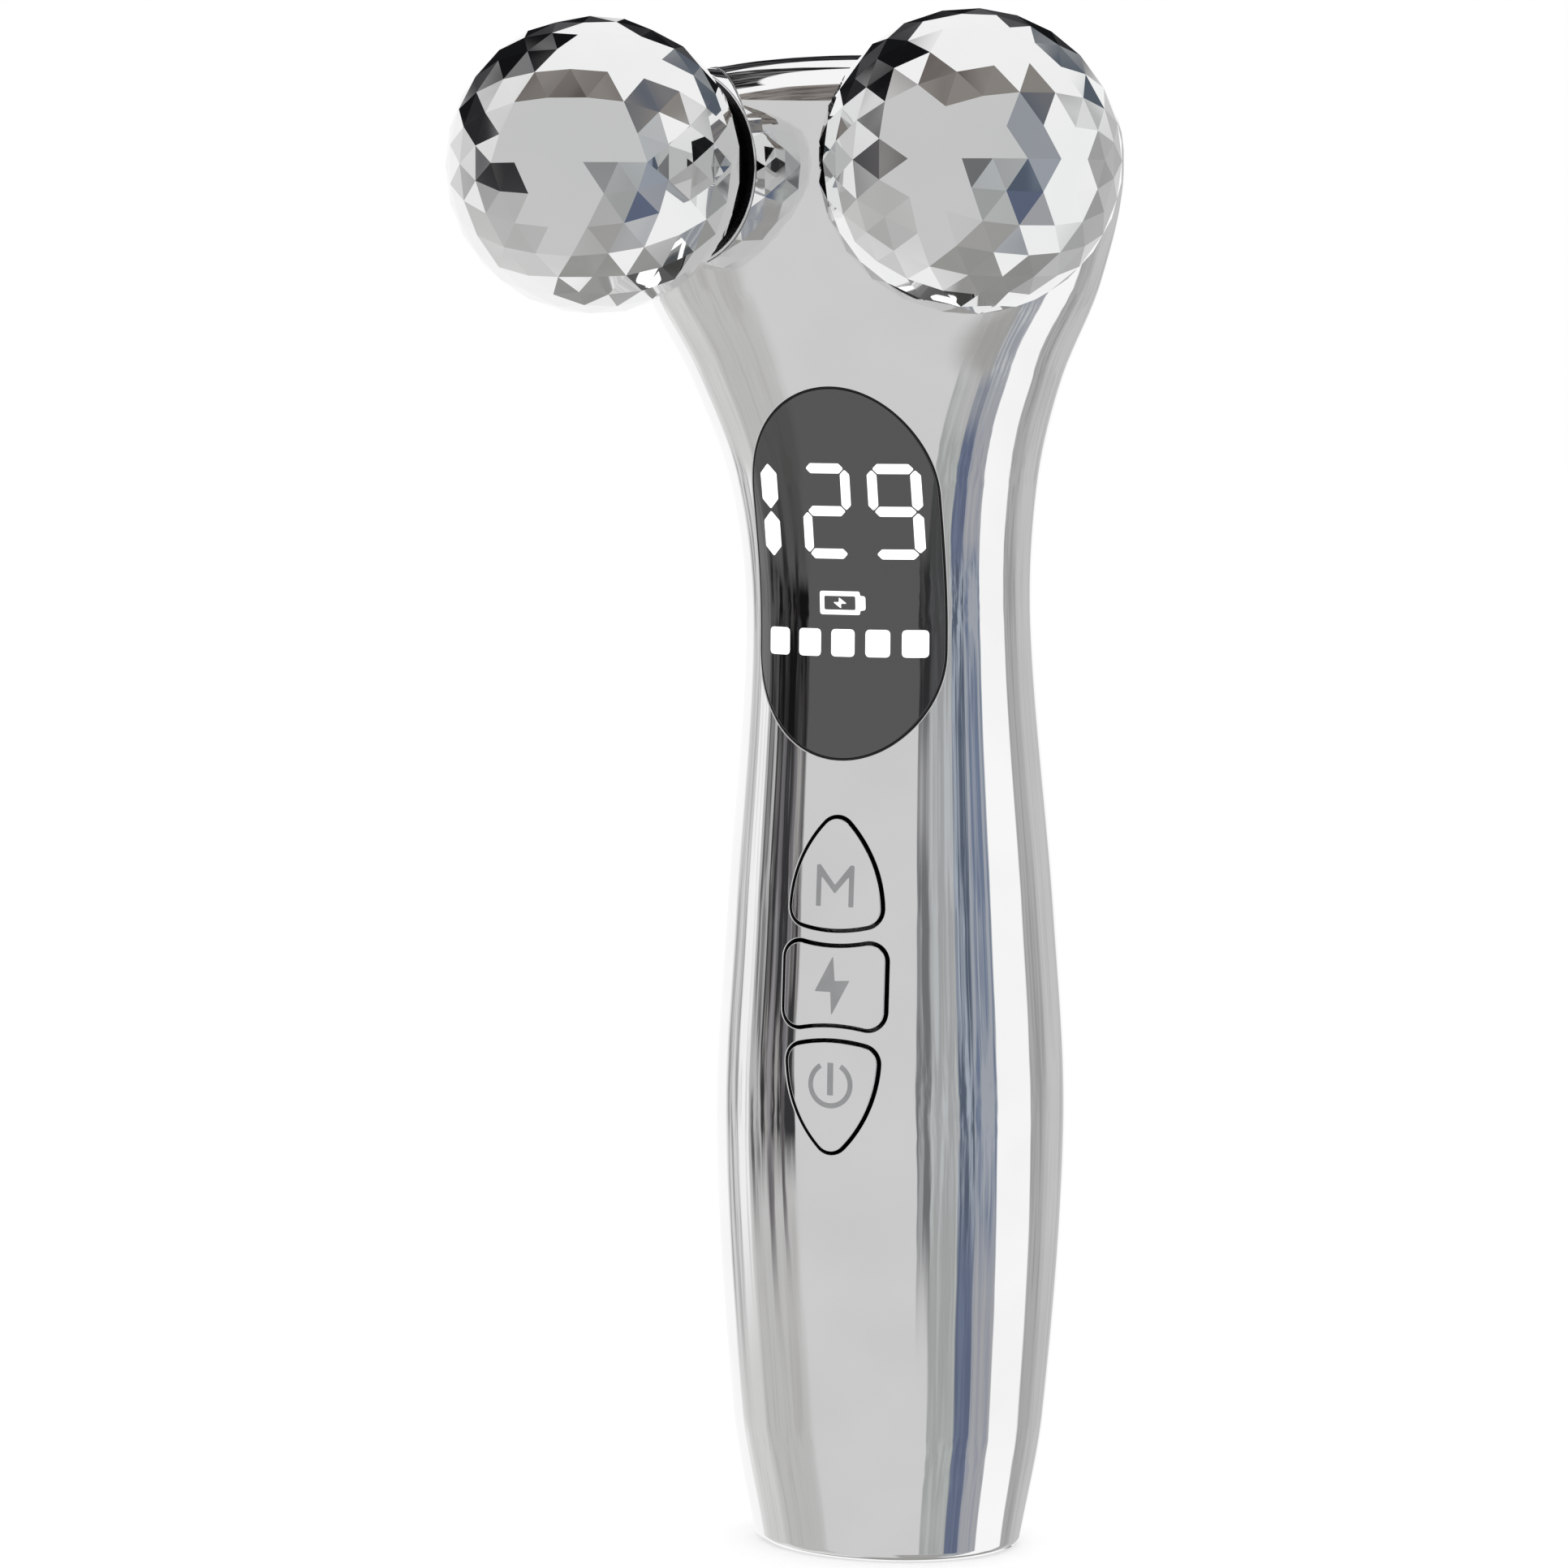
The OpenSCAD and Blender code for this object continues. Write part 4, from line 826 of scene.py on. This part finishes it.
# The faceted ball: an icosahedron whose faces are each split into rows of near-equal flat triangles.
def ballTree():
    tree = bpy.data.node_groups.new("facetedBall", "GeometryNodeTree")
    tree.is_modifier = True
    for label, kind in (("Ball radius", "Float"), ("Rows on a face", "Int"), ("Finish", "Material")):
        tree.interface.new_socket(label, in_out="INPUT", socket_type="NodeSocket" + kind)
    tree.interface.new_socket("Geometry", in_out="OUTPUT", socket_type="NodeSocketGeometry")
    inputs = addNode(tree, "NodeGroupInput").outputs
    # One face of the icosahedron as a sheet of small triangles: a grid, half of it dropped, then sheared.
    corners = addNode(tree, "ShaderNodeMath", {0: inputs["Rows on a face"], 1: 1.0}, operation="ADD")
    whole = {"Size X": 1.0, "Size Y": 1.0, "Vertices X": corners, "Vertices Y": corners}
    grid = addNode(tree, "GeometryNodeMeshGrid", whole)
    halved = addNode(tree, "GeometryNodeTriangulate", {"Mesh": grid}, quad_method="FIXED_ALTERNATE")
    place = addNode(tree, "GeometryNodeInputPosition")
    x, y, _ = addNode(tree, "ShaderNodeSeparateXYZ", {"Vector": place}).outputs
    total = addNode(tree, "ShaderNodeMath", {0: x, 1: y}, operation="ADD")
    beyond = addNode(tree, "ShaderNodeMath", {0: total, 1: 0.0}, operation="GREATER_THAN")
    dropped = {"Geometry": halved, "Selection": beyond}
    sheet = addNode(tree, "GeometryNodeDeleteGeometry", dropped, domain="FACE")
    # The half square becomes an equilateral triangle whose middle is the origin.
    edge = 4 / math.sqrt(10 + 2 * math.sqrt(5))  # edge of an icosahedron of radius 1
    height = edge * math.sqrt(3) / 2
    lean = addNode(tree, "ShaderNodeMath", {0: y, 1: edge / 2, 2: edge / 4}, operation="MULTIPLY_ADD")
    sideways = addNode(tree, "ShaderNodeMath", {0: x, 1: edge, 2: lean}, operation="MULTIPLY_ADD")
    upward = addNode(tree, "ShaderNodeMath", {0: y, 1: height, 2: height / 6}, operation="MULTIPLY_ADD")
    onFace = addNode(tree, "ShaderNodeCombineXYZ", {"X": sideways, "Y": upward})
    sheet = addNode(tree, "GeometryNodeSetPosition", {"Geometry": sheet, "Position": onFace})
    # One copy on each face of the icosahedron, turned to the face and to one of its corners.
    core = addNode(tree, "GeometryNodeMeshIcoSphere", {"Radius": 1.0, "Subdivisions": 1})
    corner = addNode(tree, "GeometryNodeCornersOfFace", {"Sort Index": 0}).outputs["Corner Index"]
    vertex = addNode(tree, "GeometryNodeVertexOfCorner", {"Corner Index": corner}).outputs["Vertex Index"]
    there = {"Index": vertex, "Value": place}
    cornerPlace = addNode(tree, "GeometryNodeFieldAtIndex", there, domain="POINT", data_type="FLOAT_VECTOR")
    toCorner = addNode(tree, "ShaderNodeVectorMath", {0: cornerPlace, 1: place}, operation="SUBTRACT")
    kept = addNode(tree, "GeometryNodeCaptureAttribute", {"Geometry": core}, domain="FACE")
    facing = addNode(tree, "GeometryNodeInputNormal")
    for index, (label, value) in enumerate((("toCorner", toCorner), ("facing", facing))):
        kept.capture_items.new("VECTOR", label)
        tree.links.new(value.outputs[0], kept.inputs[index + 1])
    centres = addNode(tree, "GeometryNodeMeshToPoints", {"Mesh": kept}, mode="FACES")
    axes = {"Primary Axis": kept.outputs["facing"], "Secondary Axis": kept.outputs["toCorner"]}
    turned = addNode(tree, "FunctionNodeAxesToRotation", axes, primary_axis="Z", secondary_axis="Y")
    placed = {"Points": centres, "Instance": sheet, "Rotation": turned}
    copies = addNode(tree, "GeometryNodeInstanceOnPoints", placed)
    real = addNode(tree, "GeometryNodeRealizeInstances", {"Geometry": copies})
    joined = addNode(tree, "GeometryNodeMergeByDistance", {"Geometry": real, "Distance": 0.002})
    outwards = addNode(tree, "ShaderNodeVectorMath", {0: place}, operation="NORMALIZE")
    radius = inputs["Ball radius"]
    swollen = addNode(tree, "ShaderNodeVectorMath", {0: outwards, "Scale": radius}, operation="SCALE")
    faceted = addNode(tree, "GeometryNodeSetPosition", {"Geometry": joined, "Position": swollen})
    painted = addNode(tree, "GeometryNodeSetMaterial", {"Geometry": faceted, "Material": inputs["Finish"]})
    addNode(tree, "NodeGroupOutput", {"Geometry": painted})
    return tree


# Makes what a piece's modifiers show its own mesh.
def applyModifiers(piece):
    bpy.context.view_layer.update()
    graph = bpy.context.evaluated_depsgraph_get()
    mesh = bpy.data.meshes.new_from_object(piece.evaluated_get(graph))
    piece.modifiers.clear()
    piece.data = mesh


def growTree(tree, name, values):
    piece = newObject(name, bpy.data.meshes.new(name))
    modifier = piece.modifiers.new(tree.name, "NODES")
    modifier.node_group = tree
    for item in tree.interface.items_tree:
        if item.name in values:
            modifier[item.identifier] = values[item.name]
    applyModifiers(piece)
    return piece


# Puts the ball on its axle and bores it for its bush.
def finishBall(piece, side):
    centre, along, across = axleFrame(side)
    turned = Matrix((
        (across[0], 0, along[0], centre[0] * mm), (across[1], 0, along[1], centre[1] * mm),
        (across[2], 1, along[2], centre[2] * mm), (0, 0, 0, 1),
    ))
    piece.data.transform(turned)
    borer = bpy.data.meshes.new("borer")
    barrel = bmesh.new()
    radius, length = roller["bushRadius"] * mm, roller["boreLength"] * mm
    bmesh.ops.create_cone(
        barrel, cap_ends=True, segments=64, radius1=radius, radius2=radius, depth=length,
        matrix=turned @ Matrix.Translation((0, 0, roller["bushFront"] * mm - length / 2)),
    )
    bmesh.ops.recalc_face_normals(barrel, faces=barrel.faces)
    barrel.to_mesh(borer)
    barrel.free()
    tool = newObject("borer", borer)
    bore = piece.modifiers.new("bore", "BOOLEAN")
    bore.operation, bore.solver, bore.object = "DIFFERENCE", "EXACT", tool
    applyModifiers(piece)
    bpy.data.objects.remove(tool)
    piece.data.shade_flat()


ballShape = ballTree()
for side, word in ((-1, "left"), (1, "right")):
    ball = growTree(ballShape, word + "_faceted_ball", {
        "Ball radius": roller["ballRadius"] * mm, "Rows on a face": roller["facetRows"],
        "Finish": rollerChrome,
    })
    print(ball.name, "facets:", len(ball.data.polygons))
    finishBall(ball, side)
    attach(ball, word + "_roller")
    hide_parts(word + "_ball")
print("rollers made")

# Finishes of the nodes that stay as they are.
nodeFinishes = {
    "end_cap": capPlastic, "display_module": innerPlasticAndGapShade, "main_board": boardGreen,
    "tact_switches": innerPlasticAndGapShade, "button_pad": padSilicone, "board_screws": screwSteel,
    "battery_cell": cellSleeve, "battery_cradle": innerPlasticAndGapShade, "battery_leads": leadBlack,
    "pulse_transformer": coilCopper, "electrode_leads": leadRed, "charge_port": screwSteel,
    "port_board": boardGreen, "axle_carrier": innerPlasticAndGapShade, "carrier_screws": screwSteel,
}
pairFinishes = {
    "_axle": screwSteel, "_insulator": blackAcetalAndGapShade, "_washer": bushPlastic, "_bush": bushPlastic,
    "_clip": screwSteel, "_contact": contactBrass,
}
for ending, material in pairFinishes.items():
    nodeFinishes["left" + ending] = nodeFinishes["right" + ending] = material
for nodeName, material in nodeFinishes.items():
    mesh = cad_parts[nodeName].data
    mesh.materials.clear()
    mesh.materials.append(material)

# The studio: a white floor and world, and a wide tent round the object that only shows in its plating.
studio = {
    "floorSize": 3.0, "floorGlow": 0.4, "worldLight": 0.85, "tentRadius": 3.0,
    "wander": 5.5, "streakWidth": 3.8, "streakHeight": 11.0,  # degrees
}
panels = [
    # azimuth from and to (0 to the object's front, + to its left hand), height angle from and to,
    # soft edge across and up, main colour, streak colour, share of streaks, all angles in degrees
    (-64, 58, -95, 56, 0.6, 1.0, "#D2D2D2", "#D2D2D2", 0.0),
    (-112, -62, -95, 52, 5.0, 4.0, "#D6D6D5", "#EFEFEE", 0.4),
    (58, 90, -95, 52, 2.0, 3.0, "#9DA1A8", "#C0C2C4", 0.35),
    (14, 66, -95, -37, 9.0, 9.0, "#A4A3A1", "#A9A8A6", 0.3),
    (-80, -40, -50, -11, 7.0, 8.0, "#C0C0BF", "#B7B6B4", 0.3),
    (-104, -78, -34, -11, 9.0, 8.0, "#D4D4D3", "#C9C8C6", 0.3),
    (-67, -40, -10.5, 7, 1.4, 4.5, "#363638", "#A09E9C", 0.4),
    (-49, -46.5, -14, 7, 1.0, 6.0, "#5A5658", "#77757A", 0.35),
    (-61, -57, -15, 7, 1.4, 6.0, "#6A686A", "#8F8D90", 0.35),
    (-79, -67, -12, 8, 2.0, 5.0, "#B9B9B9", "#606062", 0.42),
    (-92, -79, -14, 8, 2.5, 6.0, "#F8F8F8", "#DCDCDC", 0.25),
    (-110, -92, -14, 10, 3.0, 6.0, "#D6D6D6", "#9A9A9A", 0.35),
    (34, 58, -36, 8, 1.5, 8.0, "#A5A8A7", "#B3B7B5", 0.4),
    (34, 58, -14, 8, 1.5, 5.0, "#A5A6A7", "#BBBEC0", 0.4),
    (25.5, 35, -17, 8, 1.2, 7.0, "#727375", "#A0A1A2", 0.4),
    (56, 70, -37, 8, 1.8, 8.0, "#606980", "#6E788E", 0.42),
    (70, 90, -37, 8, 1.6, 8.0, "#A7A8AC", "#999CA6", 0.42),
    (56, 70, -14, 8, 1.8, 5.0, "#566070", "#A6AEBB", 0.42),
    (70, 90, -14, 8, 1.6, 5.0, "#A2A7B0", "#6F7B92", 0.42),
    (127, 150, -60, 14, 2.0, 3.0, "#B0B0B0", "#9C9C9D", 0.35),
    (147, 178, -60, 14, 7.0, 3.0, "#C6C6C6", "#B8B8B8", 0.35),
    (-112, -62, 14, 44, 1.0, 1.0, "#EDEDED", "#2C2C2E", 0.5),
    (-64, 60, 49, 76, 1.0, 1.0, "#8F8A86", "#615B58", 0.4),
    (-135, -78, 40, 62, 1.0, 1.0, "#141416", "#7F7F80", 0.35),
    (60, 110, 36, 60, 1.0, 1.0, "#8E8A86", "#5E6470", 0.4),
    (-180, -112, 18, 42, 1.0, 1.0, "#17181A", "#565658", 0.35),
    (150, 180, 20, 44, 1.0, 1.0, "#59616C", "#9A9C9E", 0.4),
    (100, 150, 16, 34, 1.0, 1.0, "#3C4448", "#E8E8E8", 0.45),
    (-200, 200, -100, -74, 1.0, 4.0, "#9B9B98", "#A6A6A3", 0.4),
    (122, 200, -77, -44, 3.0, 4.0, "#969694", "#A0A09E", 0.4),
    (-200, -122, -77, -44, 3.0, 4.0, "#969694", "#A0A09E", 0.4),
]


def makeTent():
    material, tree = newMaterial("studio_tent")
    radius = studio["tentRadius"]
    # Height angle and azimuth of each place on the tent; the azimuth wanders a little with height.
    place = addNode(tree, "ShaderNodeTexCoord").outputs["Object"]
    x, y, z = addNode(tree, "ShaderNodeSeparateXYZ", {"Vector": place}).outputs
    rise = addNode(tree, "ShaderNodeMath", {0: z, 1: radius}, operation="DIVIDE")
    rise = addNode(tree, "ShaderNodeMath", {0: rise}, operation="ARCSINE")
    height = addNode(tree, "ShaderNodeMath", {0: rise}, operation="DEGREES")
    front = addNode(tree, "ShaderNodeMath", {0: y, 1: -1}, operation="MULTIPLY")
    around = addNode(tree, "ShaderNodeMath", {0: x, 1: front}, operation="ARCTAN2")
    around = addNode(tree, "ShaderNodeMath", {0: around}, operation="DEGREES")
    slow = {"Vector": place, "Scale": 2.6, "Detail": 2.0, "Roughness": 0.6}
    drift = addNode(tree, "ShaderNodeTexNoise", slow)
    drift = addNode(tree, "ShaderNodeMath", {0: drift, 1: 0.5}, operation="SUBTRACT")
    wandering = {0: drift, 1: studio["wander"], 2: around}
    azimuth = addNode(tree, "ShaderNodeMath", wandering, operation="MULTIPLY_ADD")
    # Streaks: noise drawn out along the height.
    across = addNode(tree, "ShaderNodeMath", {0: azimuth, 1: studio["streakWidth"]}, operation="DIVIDE")
    along = addNode(tree, "ShaderNodeMath", {0: height, 1: studio["streakHeight"]}, operation="DIVIDE")
    drawn = addNode(tree, "ShaderNodeCombineXYZ", {"X": across, "Y": along})
    fine = {"Vector": drawn, "Scale": 1.0, "Detail": 4.0, "Roughness": 0.6}
    streaks = addNode(tree, "ShaderNodeTexNoise", fine)
    colour = linear("#FFFFFF")
    for start, end, low, high, soft, softUp, main, streak, share in panels:
        stops = ((0.28 + share * 0.3, streak), (0.42 + share * 0.3, main))
        paint = addNode(tree, "ShaderNodeValToRGB", {"Fac": streaks}, stops)
        masks = []
        for angle, near, far, edge in ((azimuth, start, end, soft), (height, low, high, softUp)):
            away = addNode(tree, "ShaderNodeMath", {0: angle, 1: (near + far) / 2}, operation="SUBTRACT")
            away = addNode(tree, "ShaderNodeMath", {0: away}, operation="ABSOLUTE")
            half = (far - near) / 2
            fade = {"Value": away, "From Min": half + edge / 2, "From Max": half - edge / 2}
            masks.append(addNode(tree, "ShaderNodeMapRange", fade, interpolation_type="SMOOTHSTEP"))
        mask = addNode(tree, "ShaderNodeMath", {0: masks[0], 1: masks[1]}, operation="MULTIPLY")
        colour = addNode(tree, "ShaderNodeMix", {0: mask, 6: colour, 7: paint}, data_type="RGBA").outputs[2]
    glow = addNode(tree, "ShaderNodeEmission", {"Color": colour})
    addNode(tree, "ShaderNodeOutputMaterial", {"Surface": glow})
    mesh = bpy.data.meshes.new("studio_tent")
    sphere = bmesh.new()
    bmesh.ops.create_uvsphere(sphere, u_segments=96, v_segments=48, radius=radius)
    bmesh.ops.reverse_faces(sphere, faces=sphere.faces)
    sphere.to_mesh(mesh)
    sphere.free()
    mesh.materials.append(material)
    tent = newObject("studio_tent", mesh)
    for rays in ("camera", "diffuse", "shadow", "transmission"):
        setattr(tent, "visible_" + rays, False)


makeTent()


# 1 where the ground itself is seen, directly, in a mirror or through glass; 0 where it lights the object.
def seenItself(tree):
    rays = addNode(tree, "ShaderNodeLightPath").outputs
    seen = rays["Is Camera Ray"]
    for kind in ("Is Glossy Ray", "Is Transmission Ray"):
        seen = addNode(tree, "ShaderNodeMath", {0: seen, 1: rays[kind]}, operation="MAXIMUM")
    return seen


def makeFloor():
    material, tree = newMaterial("matt_white_floor")
    shades = ((0.35, "#F2F2F2"), (0.65, "#F5F5F5"))
    colour = addNode(tree, "ShaderNodeValToRGB", {"Fac": grain(tree, 2, 2)}, shades)
    matt = addNode(tree, "ShaderNodeBsdfDiffuse", {"Color": colour})
    glow = addNode(tree, "ShaderNodeEmission", {"Color": linear("#FFFFFF"), "Strength": studio["floorGlow"]})
    lift = addNode(tree, "ShaderNodeAddShader", {0: matt, 1: glow})
    mixed = addNode(tree, "ShaderNodeMixShader", {0: seenItself(tree), 1: matt, 2: lift})
    addNode(tree, "ShaderNodeOutputMaterial", {"Surface": mixed})
    size = studio["floorSize"]
    mesh = bpy.data.meshes.new("floor")
    corners = [(-size, -size, 0), (size, -size, 0), (size, size, 0), (-size, size, 0)]
    mesh.from_pydata(corners, [], [(0, 1, 2, 3)])
    mesh.materials.append(material)
    floor = newObject("floor", mesh)
    floor.visible_glossy = False


def makeWorld():
    world = bpy.data.worlds.new("studio")
    bpy.context.scene.world = world
    world.use_nodes = True
    tree = world.node_tree
    tree.nodes.clear()
    white = linear("#FFFFFF")
    light = addNode(tree, "ShaderNodeBackground", {"Color": white, "Strength": studio["worldLight"]})
    shown = addNode(tree, "ShaderNodeBackground", {"Color": white, "Strength": 1.0})
    mixed = addNode(tree, "ShaderNodeMixShader", {0: seenItself(tree), 1: light, 2: shown})
    addNode(tree, "ShaderNodeOutputWorld", {"Surface": mixed})


makeFloor()
makeWorld()
print("studio ready")

# The camera stands a little to the right of the front and just above.
view = {"place": (0.2230, -0.5547, 0.1334), "towards": (-0.38924, 0.91700, -0.08716), "lens": 129.7}
camera = bpy.data.cameras.new("camera")
camera.lens = view["lens"]
camera.sensor_width = 36
camera.clip_start = 0.05
stand = newObject("camera", camera)
stand.location = view["place"]
stand.rotation_euler = Vector(view["towards"]).to_track_quat("-Z", "Y").to_euler()
bpy.context.scene.camera = stand
bpy.context.scene.view_settings.view_transform = "Standard"
